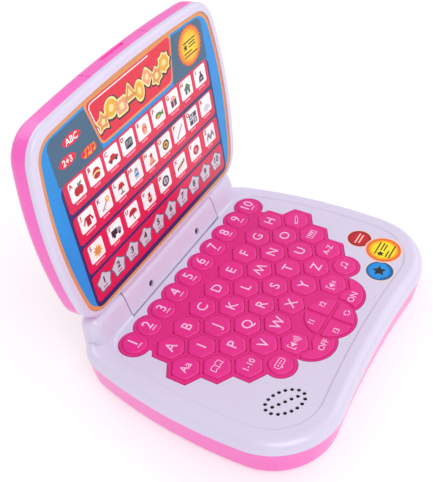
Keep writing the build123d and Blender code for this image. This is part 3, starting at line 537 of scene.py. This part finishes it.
def note_mark(x, y):
    """Two notes with one beam."""
    stems = [(-0.85, -1.5), (-0.85, 2.3), (2.75, 2.9), (2.75, -1.0)]
    return [
        ellipse(x - 1.7, y - 1.6, 1.1, 0.85, 0.4, 16),
        ellipse(x + 1.9, y - 1.1, 1.1, 0.85, 0.4, 16),
        stroke(moved(stems, x, y), LINE),
    ]


def bubble_mark(x, y):
    """A speech bubble with three dots."""
    rim = rounded(box_shape(x - 4.4, y - 1.4, x + 4.4, y + 2.6), 1.4)
    tail = [(-2.2, -1.3), (-0.4, -1.3), (-2.6, -3.2)]
    dots = [ellipse(x + 2.1 * n, y + 0.6, 0.55, steps=12) for n in (-1, 0, 1)]
    return [stroke(rim + rim[:1], LINE), moved(tail, x, y), *dots]


def book_mark(x, y):
    """An open book."""
    page = [(0, -2.0), (2.2, -1.3), (4.6, -1.9), (4.6, 1.9), (2.2, 2.5), (0, 1.8)]
    rim = page + [(-u, v) for u, v in page[-2::-1]]
    return [stroke(moved(rim, x, y), LINE), stroke([(x, y - 1.9), (x, y + 1.7)], LINE)]


def pencil_mark(x, y):
    """A slanted pencil; the first two numbers are its slant's cosine and sine."""
    along, aside = 0.9, 0.43
    body = [(-4.6, -0.9), (2.6, -0.9), (4.8, 0), (2.6, 0.9), (-4.6, 0.9), (-4.6, -0.9)]
    line = [(x + u * along - v * aside, y + u * aside + v * along) for u, v in body]
    band = [(-2.6, -2.2), (-3.4, -0.5)]
    return [stroke(line, LINE), stroke(moved(band, x, y), LINE)]


def piano_mark(x, y):
    """Piano keys in a frame."""
    blacks = (-2.1, 0, 2.1)
    rim = box_shape(x - 4.2, y - 2.2, x + 4.2, y + 2.2)
    marks = [stroke(rim + rim[:1], RIM_LINE)]
    marks += [box_shape(x + u - 0.6, y - 0.2, x + u + 0.6, y + 2.1) for u in blacks]
    return marks + [stroke([(x + u, y - 2.1), (x + u, y - 0.2)], THIN_LINE) for u in blacks]


def repeat_mark(x, y):
    """Two bent arrows that chase each other."""
    sweep, barb, point = 130, 0.95, 1.6
    marks = []
    for start in (20, 200):
        bend = arc(x, y, 1.9, start, start + sweep, 8)
        marks.append(stroke(bend, LINE))
        tip, back = Vector(bend[-1]), Vector(bend[-2])
        ahead = (tip - back).normalized()
        out = Vector((-ahead.y, ahead.x)) * barb
        marks.append([tuple(tip + out), tuple(tip - out), tuple(tip + ahead * point)])
    return marks


AA_HEIGHT, RANGE_HEIGHT = 5.2, 4.2
mode_marks = []
for x, y in key_middles["keys_mode"]:
    row = round((FIRST_ROW_Y - y) / ROW_STEP)
    left = x < 0
    mode_marks += {
        1: [("Aa", x, y, AA_HEIGHT)] if left else pencil_mark(x, y),
        2: book_mark(x, y) if left else piano_mark(x, y),
        3: [("1-10" if left else "A-Z", x, y, RANGE_HEIGHT)],
        4: bubble_mark(x, y) if left else note_mark(x, y),
    }[row]
legend("keys_mode", *mode_marks)

QUIZ_MIDDLE_Y, QUIZ_HEIGHT = -58.75, 4.0
quiz_marks = []
for x, y in key_middles["keys_quiz"]:
    left, upper = x < 0, y > QUIZ_MIDDLE_Y
    if left or upper:
        number = "1" if left and upper else "2" if upper else "3"
        quiz_marks.append(("?" + number, x, y, QUIZ_HEIGHT))
    else:
        quiz_marks += repeat_mark(x, y)
legend("keys_quiz", *quiz_marks)

# ---- printed picture panel ----------------------------------------------------------------
INKS = {
    "orange": srgb(224, 148, 88),
    "sky": srgb(10, 142, 222),
    "navy": srgb(30, 40, 104),
    "slate": srgb(62, 98, 128),
    "red": srgb(228, 26, 62),
    "crimson": srgb(222, 22, 78),
    "white": srgb(250, 246, 248),
    "cream": srgb(255, 226, 150),
    "ink": srgb(44, 34, 44),
    "blush": srgb(255, 168, 190),
    "cherry": srgb(190, 24, 40),
    "leaf": srgb(70, 130, 60),
    "gold": srgb(236, 172, 52),
    "grey": srgb(140, 140, 150),
    "peach": srgb(240, 158, 130),
    "plum": srgb(70, 46, 84),
    "silver": srgb(208, 204, 218),
}
LEVEL = 0.03               # each level of print stands this much above the one below
BORDER, GROUND, FIELD, CORNERS, BAND, CARD, PICTURE = range(1, 8)
SUNK, WORDS_SUNK = 0.04, 0.02             # how far the print reaches into the panel
art = {name: bmesh.new() for name in INKS}


def print_shape(ink, outline, level):
    add_plate(art[ink], outline, PANEL_FACE - SUNK, PANEL_FACE + LEVEL * level, place_on_lid)


def print_words(ink, words, x, y, height, level, weight=0.02):
    top = PANEL_FACE + LEVEL * level
    low = PANEL_FACE - WORDS_SUNK
    add_words(art[ink], words, x, y, height, low, top, place_on_lid, weight)


def shrink(outline, amount):
    """The outline moved inwards by an even amount."""
    out = []
    count = len(outline)
    for n, p in enumerate(outline):
        a, b = Vector(outline[n - 1]), Vector(outline[(n + 1) % count])
        p = Vector(p)
        u, v = (p - a).normalized(), (b - p).normalized()
        inward = Vector((-(u + v).y, (u + v).x)).normalized()
        reach = amount / max(LEAST_MITRE, inward.dot(Vector((-u.y, u.x))))
        out.append(tuple(p + inward * reach))
    return out


EDGE_GAP, PANEL_BORDER = 0.15, 2.9
panel_edge = thinned(outlines("picture_panel", PANEL_FACE, LID_AXES)[0], 0.3)
print_shape("orange", shrink(panel_edge, EDGE_GAP), BORDER)
print_shape("sky", shrink(panel_edge, PANEL_BORDER), GROUND)

# the field behind the rows, the corner fields, and the banner
print_shape("navy", rounded(box_shape(-83.0, 14.8, 83.0, 109.0), 6.5), FIELD)
for way in (-1, 1):
    corner = [(82.6, 108.5), (82.6, 135.5), (79.0, 139.0), (46.0, 140.8), (39.5, 108.5)]
    corner = [(way * u, v) for u, v in corner]
    print_shape("slate", rounded(corner, 2.6), CORNERS)
banner = [(-46.9, 144.2), (46.9, 144.2), (39.8, 111.8), (-39.8, 111.8)]
print_shape("orange", rounded(banner, 4.5), BAND)
face = [(-45.0, 142.4), (45.0, 142.4), (38.5, 113.3), (-38.5, 113.3)]
print_shape("red", rounded(face, 3.8), CARD)
gleam = [(-38.6, 119.0), (-42.6, 138.0), (-41.6, 140.2), (-39.0, 140.9), (20.0, 140.9)]
print_shape("white", stroke(gleam, 0.8), PICTURE)

# a row of plain toy shapes across the banner
TITLE_Y, TITLE_STEP, TITLE_ROUNDING = 126.8, 9.7, 1.6
TITLE_HIGH, TITLE_LOW = 2.2, -2.0         # the shapes stand high and low by turns
TITLE_INKS = ("orange", "gold", "peach")
SHADE_SIZE, RIM_SIZE, FACE_SIZE, SPOT_SIZE = 1.72, 1.5, 1.16, 0.52
title = [
    star(0, 0, 5.6),
    ellipse(0, 0, 4.6),
    box_shape(-3.9, -3.9, 3.9, 3.9),
    [(-4.9, -4), (4.9, -4), (0, 5)],
    ellipse(0, 0, 3.4, 5.0),
    [(0, 5.2), (4.4, 0), (0, -5.2), (-4.4, 0)],
    star(0, 0, 5.2, 0.62, 6),
    star(0, 0, 5.4, 0.72, 8),
]
for n, outline in enumerate(title):
    x = (n - (len(title) - 1) / 2) * TITLE_STEP
    y = TITLE_Y + (TITLE_HIGH if n % 2 else TITLE_LOW)
    soft = rounded(outline, TITLE_ROUNDING) if len(outline) < ELLIPSE_STEPS else outline
    print_shape("ink", moved(soft, x + 0.5, y - 0.6, SHADE_SIZE), PICTURE)
    print_shape("cream", moved(soft, x, y, RIM_SIZE), PICTURE + 1)
    print_shape(TITLE_INKS[n % 3], moved(soft, x, y, FACE_SIZE), PICTURE + 2)
    print_shape("cream", moved(soft, x, y, SPOT_SIZE), PICTURE + 3)

# small ovals at the upper left, as (words, x, y, half width)
OVALS = (("ABC", -62.3, 130.7, 8.4), ("2+3", -70.2, 120.5, 7.8), ("", -51.7, 115.9, 7.6))
OVAL_HALF_HEIGHT, OVAL_WORDS_HEIGHT = 3.4, 3.9
for words, x, y, wide in OVALS:
    print_shape("red", ellipse(x, y, wide, OVAL_HALF_HEIGHT), CARD)
    if words:
        print_words("white", words, x, y, OVAL_WORDS_HEIGHT, PICTURE)
    else:
        for n, mark in enumerate(note_mark(x - 2.5, y - 0.3) + note_mark(x + 3.0, y - 0.3)):
            print_shape("gold", mark, PICTURE + n % 3)

# rows of pictures
ROWS = [(88.0, 108.8), (64.6, 85.2), (41.8, 62.5), (18.8, 39.6)]
ROW_HALF, ROW_ROUNDING = 80.8, 3.2
for low, high in ROWS:
    print_shape("crimson", rounded(box_shape(-ROW_HALF, low, ROW_HALF, high), ROW_ROUNDING), BAND)


def picture(letter):
    """A small plain picture as (ink, outline) pairs in a square that runs from -1 to 1."""
    e, b, s = ellipse, box_shape, stroke
    return {
        "A": [("cherry", e(-.3, -.15, .5, .58)), ("cherry", e(.3, -.15, .5, .58)),
              ("ink", s([(0, .3), (.1, .8)], .13)), ("leaf", e(.42, .62, .32, .14, .5))],
        "B": [("cherry", e(0, 0, .72)), ("cream", s(arc(0, -.75, .9, 35, 145), .2))],
        "C": [("cherry", rounded([(-.95, -.35), (.95, -.35), (.9, .05), (.5, .12), (.2, .48), (-.4, .48),
              (-.6, .1), (-.95, .02)], .12)), ("ink", e(-.5, -.38, .22)), ("ink", e(.5, -.38, .22))],
        "D": [("ink", e(0, .4, .75, .25)), ("grey", b(-.75, -.45, .75, .4)), ("ink", e(0, -.45, .75, .2)),
              ("ink", s([(-.7, .3), (-.3, -.4), (0, .3), (.3, -.4), (.7, .3)], .08))],
        "E": [("peach", e(0, -.05, .52, .75)), ("cherry", s([(-.4, -.05), (0, .18), (.4, -.05)], .14))],
        "F": [("leaf", e(-.15, 0, .65, .42)), ("leaf", [(.35, 0), (.9, .42), (.9, -.42)]),
              ("gold", e(-.2, -.14, .42, .2)), ("ink", e(-.5, .1, .08))],
        "G": [("plum", b(-.62, -.7, .62, .3)), ("peach", b(-.1, -.7, .1, .3)), ("peach", b(-.7, .2, .7, .4)),
              ("peach", e(-.22, .58, .24, .14, .6)), ("peach", e(.22, .58, .24, .14, -.6))],
        "H": [("slate", b(-.55, -.7, .55, .1)), ("leaf", [(-.85, .05), (.85, .05), (0, .8)]),
              ("cream", b(-.14, -.7, .14, -.2))],
        "I": [("ink", rounded([(-.6, -.7), (.6, -.7), (.45, .1), (.2, .25), (-.2, .25), (-.45, .1)], .12)),
              ("plum", b(-.18, .2, .18, .7)), ("grey", b(-.3, -.45, .3, -.1))],
        "J": [("cherry", [(-.4, -.7), (.4, -.7), (.4, .3), (.75, -.35), (.95, -.2), (.5, .6), (-.5, .6),
              (-.95, -.2), (-.75, -.35), (-.4, .3)]), ("ink", s([(0, -.7), (0, .55)], .06))],
        "K": [("gold", e(.45, .4, .4)), ("white", e(.5, .45, .15)),
              ("grey", s([(.2, .15), (-.75, -.65)], .16)), ("grey", s([(-.5, -.45), (-.3, -.7)], .13))],
        "L": [("cherry", [(-.7, 0), (.7, 0), (.35, .75), (-.35, .75)]), ("ink", s([(0, 0), (0, -.65)], .12)),
              ("ink", b(-.4, -.75, .4, -.6))],
        "M": [("silver", b(-.4, -.75, .4, .3)), ("grey", [(-.4, .3), (.4, .3), (.2, .75), (-.2, .75)]),
              ("sky", b(-.4, -.35, .4, .0))],
        "N": [("peach", [(-.65, -.75), (.65, -.75), (.25, .2), (-.25, .2)]), ("cherry", e(0, .45, .3)),
              ("cherry", b(-.65, -.75, .65, -.6))],
        "O": [("ink", e(0, 0, .7)), ("gold", e(0, 0, .45)), ("ink", e(0, 0, .2))],
        "P": [("grey", s([(-.6, -.6), (.7, .7)], .22)), ("ink", [(-.85, -.85), (-.7, -.5), (-.5, -.7)])],
        "Q": [("plum", b(-.85, -.8, .85, .8)), ("silver", b(-.1, -.75, .1, .75)),
              ("silver", b(-.8, -.1, .8, .1)), ("silver", e(.45, -.42, .2)),
              ("silver", e(-.45, .42, .2))],
        "R": [("silver", e(0, -.2, .5, .4)), ("silver", e(-.35, -.3, .4, .3)),
              ("silver", e(.4, -.32, .36, .28)), ("grey", s([(-.3, -.7), (-.4, -.9)], .1)),
              ("grey", s([(.2, -.7), (.1, -.9)], .1))],
        "S": [("gold", star(0, 0, .9, .62, 10)), ("orange", e(0, 0, .45))],
        "T": [("ink", b(-.95, -.3, .2, .55)), ("grey", rounded([(.25, -.3), (.95, -.3), (.95, .1), (.6, .4),
              (.25, .4)], .1)), ("ink", e(-.5, -.4, .24)), ("ink", e(.55, -.4, .24))],
        "U": [("cherry", arc(0, 0, .85, 0, 180, 14)),
              ("ink", s([(0, 0), (0, -.6), (.15, -.75), (.3, -.6)], .1))],
        "V": [("cherry", rounded([(-.25, -.75), (.25, -.75), (.5, -.1), (.18, .3), (.3, .7), (-.3, .7),
              (-.18, .3), (-.5, -.1)], .2)), ("cream", b(-.42, -.2, .42, -.05))],
        "W": [("ink", e(0, 0, .75)), ("silver", e(0, 0, .46)), ("ink", e(0, 0, .14)),
              ("ink", s([(-.5, 0), (.5, 0)], .07)), ("ink", s([(0, -.5), (0, .5)], .07))],
        "X": [("ink", [(-.95, -.5), (.8, .1), (.95, .6), (-.9, -.05)])]
             + [("gold", b(-.7 + .38 * n, -.42 + .17 * n, -.52 + .38 * n, .02 + .14 * n)) for n in range(4)],
        "Y": [("cherry", e(0, 0, .7)), ("blush", s(arc(-.5, -.5, .8, 10, 80), .08)),
              ("blush", s(arc(-.7, -.7, .8, 20, 70), .08)), ("blush", s(arc(.5, .5, .75, 195, 255), .08))],
        "Z": [("grey", s([(-.9, -.3), (-.45, .45), (0, -.3), (.45, .45), (.9, -.3)], .26)),
              ("ink", s([(-.9, -.62), (-.45, .13), (0, -.62), (.45, .13), (.9, -.62)], .08))],
    }[letter]


CARD_X, CARD_Y, CARD_ROUNDING = 7.1, 6.8, 1.6
PICTURE_SIZE, PICTURE_ASIDE = 5.2, 0.9
CARD_LETTER_HEIGHT, CARD_LETTER_LEVEL = 2.9, 12
WORD_LEFT, WORD_STEP, WORD_WIDE = -4.2, 1.65, 1.15   # the bars below a card
WORD_LOW, WORD_HIGH = -9.2, -7.9


def card(letter, x, y):
    """A white card with a picture and its letter, and bars below for the word."""
    back = box_shape(x - CARD_X, y - CARD_Y, x + CARD_X, y + CARD_Y)
    print_shape("white", rounded(back, CARD_ROUNDING), CARD)
    for n, (ink, outline) in enumerate(picture(letter)):
        outline = moved(outline, x + PICTURE_ASIDE, y - PICTURE_ASIDE, PICTURE_SIZE)
        print_shape(ink, outline, PICTURE + n)
    print_words("cherry", letter, x - 4.9, y + 4.4, CARD_LETTER_HEIGHT, CARD_LETTER_LEVEL)
    for n in range(4 + (ord(letter) * 7) % 3):
        left = x + WORD_LEFT + WORD_STEP * n
        bar = box_shape(left, y + WORD_LOW, left + WORD_WIDE, y + WORD_HIGH)
        print_shape("blush", bar, CARD)


# the middles of the cards across the panel
ROW_X = [-69.4, -51.7, -34.5, -17.5, 0.0, 17.3, 35.0, 52.5, 70.5]
LAST_ROW_X = [-69.4, -49.5, -30.4, -10.9, 8.8, 28.8, 48.8, 68.8]
CARD_ROWS = (("ABCDEFGHI", ROW_X, 100.5), ("JKLMNOPQR", ROW_X, 77.5), ("STUVWXYZ", LAST_ROW_X, 53.8))
for letters, spots, y in CARD_ROWS:
    for letter, x in zip(letters, spots):
        card(letter, x, y)

# numbered badges in the lowest row
BADGE_LEFT, BADGE_STEP, BADGE_Y = -70.7, 15.75, 29.6
BADGE_NOTCH, BADGE_BACK, BADGE_FACE = 0.66, 8.8, 7.8
BADGE_NUMBER_HEIGHT, BADGE_NUMBER_WEIGHT = 4.6, 0.03
DOT_LEFT, DOT_STEP, DOT_WIDE = -2.1, 1.45, 1.1
DOT_LOW, DOT_HIGH = -4.1, -3.1
for n in range(10):
    x, y = BADGE_LEFT + BADGE_STEP * n, BADGE_Y
    print_shape("slate", rounded(star(x, y - 0.2, BADGE_BACK, BADGE_NOTCH), 2.4), CARD)
    print_shape("silver", rounded(star(x, y, BADGE_FACE, BADGE_NOTCH), 2.2), PICTURE)
    print_words(
        "ink", str(n + 1), x, y + 1.2, BADGE_NUMBER_HEIGHT, PICTURE + 1, BADGE_NUMBER_WEIGHT
    )
    for k in range(3):
        left = x + DOT_LEFT + DOT_STEP * k
        dot = box_shape(left, y + DOT_LOW, left + DOT_WIDE, y + DOT_HIGH)
        print_shape("cherry", dot, PICTURE + 1)

for name, bm in art.items():
    ink = surface(
        "print_" + name, INKS[name], 0.28, grain=PRINT_GRAIN, bump=0.008, mottle=0.05, broad=40.0
    )
    piece("panel_" + name, bm, ink, "lid")


# ---- the sun in the panel's corner, with bars in place of its words --------------------------
def word_bars(spot, bars):
    """Bars as (height of the middle, left end, right end), measured from the spot."""
    x, y = spot
    half = 0.45
    return [box_shape(x + left, y + v - half, x + right, y + v + half) for v, left, right in bars]


SUN_X, SUN_Y, SUN_RADIUS = 65.1, 125.8, 14.2
SUN_BARS = (
    (3.6, -7.5, 7.8), (1.4, -1.2, 6.4), (-0.7, -1.2, 7.2), (-3.8, -7.5, 1.8), (-6.2, -7.5, 8.2)
)
sun_face = bmesh.new()
rays = star(SUN_X, SUN_Y, SUN_RADIUS, 0.9, 28)
add_plate(sun_face, rays, PANEL_FACE - SUNK, PANEL_FACE + LEVEL * CARD, place_on_lid)
sun_print = glow_disc(
    "print_sun", place_on_lid(SUN_X, SUN_Y, PANEL_FACE), SUN_RADIUS,
    (0.0, srgb(255, 220, 40)), (0.6, srgb(255, 196, 30)),
    (0.82, srgb(246, 130, 24)), (1.0, srgb(226, 66, 24)),
)
piece("panel_sun", sun_face, sun_print, "lid")
sun_marks = bmesh.new()
for outline in [*word_bars((SUN_X, SUN_Y), SUN_BARS), star(SUN_X - 5.0, SUN_Y + 0.4, 2.6)]:
    add_plate(sun_marks, outline, PANEL_FACE, PANEL_FACE + LEVEL * PICTURE, place_on_lid)
dark_print = surface("print_dark", srgb(60, 40, 20), PRINT_GLOSS)
piece("panel_sun_marks", sun_marks, dark_print, "lid")
for material_slot in frame["nodes"]["picture_panel"].material_slots:
    material_slot.material = surface("print_edge", INKS["orange"], PRINT_GLOSS)

# ---- round labels on the deck -------------------------------------------------------------
RED_SPOT, BLUE_SPOT, YELLOW_SPOT = (82.0, -46.0), (56.8, -71.6), (78.2, -66.0)
LABEL_LEVEL = 0.03         # each label lies this much above the one it overlaps
HALO = srgb(246, 214, 196)
MARK_RISE, PALE_MARK_RISE, MARK_GLOSS = 0.13, 0.08, 0.35


def label(name, spot, radius, level, *stops):
    """A printed disc that stands in for the CAD labels."""
    bm = bmesh.new()
    low, high = DECK - LABEL_LEVEL, DECK + LABEL_LEVEL * level
    add_plate(bm, ellipse(*spot, radius, steps=48), low, high, place_on_deck)
    look = glow_disc("print_" + name, place_on_deck(*spot, DECK), radius, *stops)
    piece("label_" + name, bm, look, "base", nodes=("round_labels",))


label(
    "red", RED_SPOT, 9.2, 1,
    (0.0, srgb(214, 24, 44)), (0.74, srgb(190, 14, 36)), (0.84, srgb(116, 16, 34)),
    (0.9, srgb(190, 60, 40)), (0.97, HALO),
)
label(
    "blue", BLUE_SPOT, 10.6, 2,
    (0.0, srgb(26, 158, 236)), (0.72, srgb(14, 140, 226)), (0.82, srgb(24, 70, 130)),
    (0.88, srgb(60, 130, 190)), (0.93, HALO),
)
label(
    "sun", YELLOW_SPOT, 13.4, 3,
    (0.0, srgb(255, 238, 34)), (0.6, srgb(255, 220, 14)), (0.76, srgb(248, 138, 14)),
    (0.88, srgb(234, 84, 20)), (0.97, HALO),
)

# a star and ticks on the blue label, bars and a star on the yellow one
YELLOW_BARS = (
    (4.4, -6.5, 7.0), (1.6, -1.0, 7.2), (-0.6, -1.0, 6.4), (-3.8, -6.5, 0.5), (-6.2, -6.5, 7.4)
)
TICK_COUNT, TICK_START, TICK_STEP = 9, -150, 16
TICK_NEAR, TICK_FAR, TICK_LINE = 6.9, 8.5, 0.8
marks = [star(BLUE_SPOT[0], BLUE_SPOT[1] + 0.4, 5.2)]
for n in range(TICK_COUNT):
    turn = math.radians(TICK_START + TICK_STEP * n)
    tick = [(math.cos(turn) * r, math.sin(turn) * r) for r in (TICK_NEAR, TICK_FAR)]
    marks.append(stroke(moved(tick, *BLUE_SPOT), TICK_LINE))
marks += word_bars(YELLOW_SPOT, YELLOW_BARS)
marks.append(star(YELLOW_SPOT[0] - 4.6, YELLOW_SPOT[1] + 0.6, 2.9))
label_marks = bmesh.new()
for outline in marks:
    add_plate(label_marks, outline, DECK, DECK + MARK_RISE, place_on_deck)
label_dark = surface("print_label_dark", srgb(40, 30, 30), MARK_GLOSS)
piece("label_marks", label_marks, label_dark, "base")

# two pale bars on the red label, as (height, half width)
PALE_BARS, PALE_HALF = ((1.3, 5.6), (-1.3, 4.6)), 0.5
pale = bmesh.new()
x, y = RED_SPOT
for v, half in PALE_BARS:
    outline = box_shape(x - half, y + v - PALE_HALF, x + half, y + v + PALE_HALF)
    add_plate(pale, outline, DECK, DECK + PALE_MARK_RISE, place_on_deck)
label_pale = surface("print_label_pale", srgb(250, 200, 190), MARK_GLOSS)
piece("label_pale_marks", pale, label_pale, "base")

# ---- black plugs in the speaker holes: painted shade for the dark inside of the holes -----
PLUG_TOP, PLUG_EDGE, PLUG_LOW = DECK - 0.55, DECK - 0.75, DECK - 2.1
# each ring is (share of the hole's radius, height)
PLUG_RINGS = ((1.0, PLUG_LOW), (1.0, PLUG_EDGE), (0.8, PLUG_TOP - 0.04), (0.4, PLUG_TOP))
LARGEST_HOLE = 4.0
PRESSED_IN = 0.03          # the plug is this much wider than the hole
shade_plugs = bmesh.new()
for loop in outlines("base_top_shell", DECK, DECK_AXES):
    xs = [x for x, y in loop]
    if max(xs) - min(xs) > LARGEST_HOLE:
        continue
    radius = (max(xs) - min(xs)) / 2 + PRESSED_IN
    rings = []
    for share, level in PLUG_RINGS:
        ring = ellipse(*middle(loop), radius * share)
        rings.append([shade_plugs.verts.new(place_on_deck(u, v, level)) for u, v in ring])
    shade_plugs.faces.new(rings[0][::-1])
    shade_plugs.faces.new(rings[-1])
    for lower, upper in zip(rings, rings[1:]):
        add_walls(shade_plugs, lower, upper)
# the plugs' near-black is painted shade, standing in for the dark inside of the holes
shade_plug_look = surface("speaker_hole_shade", srgb(16, 14, 18), 0.95, grain=2600.0, bump=0.3, mottle=0.3)
piece("speaker_hole_shade", shade_plugs, shade_plug_look, "base", smooth=True)

# ---- floor, light, camera -----------------------------------------------------------------
WHITE = (1, 1, 1, 1)
FLOOR_REACH, FLOOR_GLOW = 15.0, 0.4       # metres to each side, and its own light
floor_mesh = bpy.data.meshes.new("floor")
corners = box_shape(-FLOOR_REACH, -FLOOR_REACH, FLOOR_REACH, FLOOR_REACH)
floor_mesh.from_pydata([(x, y, 0) for x, y in corners], [], [(0, 1, 2, 3)])
floor_paint = plain(
    "floor_paint", srgb(206, 206, 206), 0.8, Emission_Color=WHITE, Emission_Strength=FLOOR_GLOW
)
floor_mesh.materials.append(floor_paint)
floor = bpy.data.objects.new("floor", floor_mesh)
bpy.context.scene.collection.objects.link(floor)


def area_light(name, spot, size, watts):
    """A soft light above the object, in metres, that points at its middle."""
    data = bpy.data.lights.new(name, "AREA")
    data.shape = "RECTANGLE"
    data.size, data.size_y = size
    data.energy = watts
    o = bpy.data.objects.new(name, data)
    o.location = spot
    o.rotation_euler = (MIDDLE - Vector(spot)).to_track_quat("-Z", "Y").to_euler()
    bpy.context.scene.collection.objects.link(o)


MIDDLE = Vector((0.0, 0.0, 0.06))
area_light("key_light", (-0.7, -0.9, 1.5), (1.2, 1.2), 14)
area_light("fill_light", (1.3, -0.7, 1.0), (1.4, 1.4), 7)
area_light("back_light", (0.2, 1.5, 1.2), (1.4, 0.8), 6)

WORLD_LIGHT = 0.62
world = bpy.data.worlds.new("studio")
world.use_nodes = True
world.node_tree.nodes["Background"].inputs["Color"].default_value = WHITE
world.node_tree.nodes["Background"].inputs["Strength"].default_value = WORLD_LIGHT
bpy.context.scene.world = world
bpy.context.scene.view_settings.view_transform = "Standard"

SENSOR, LENS = 36.0, 61.77
CAMERA_SPOT = Vector((-350.3, -200.2, 437.2)) * MM
VIEW = Vector((0.62880, 0.40432, -0.66418)).normalized()
CAMERA_UP = Vector((0.59720, 0.29591, 0.74551))
camera_data = bpy.data.cameras.new("camera")
camera_data.sensor_fit = "VERTICAL"
camera_data.sensor_height = SENSOR
camera_data.lens = LENS
camera = bpy.data.objects.new("camera", camera_data)
side = VIEW.cross(CAMERA_UP).normalized()
above = side.cross(VIEW)
turned = Matrix((side, above, -VIEW)).transposed()
camera.matrix_world = Matrix.Translation(CAMERA_SPOT) @ turned.to_4x4()
bpy.context.scene.collection.objects.link(camera)
bpy.context.scene.camera = camera
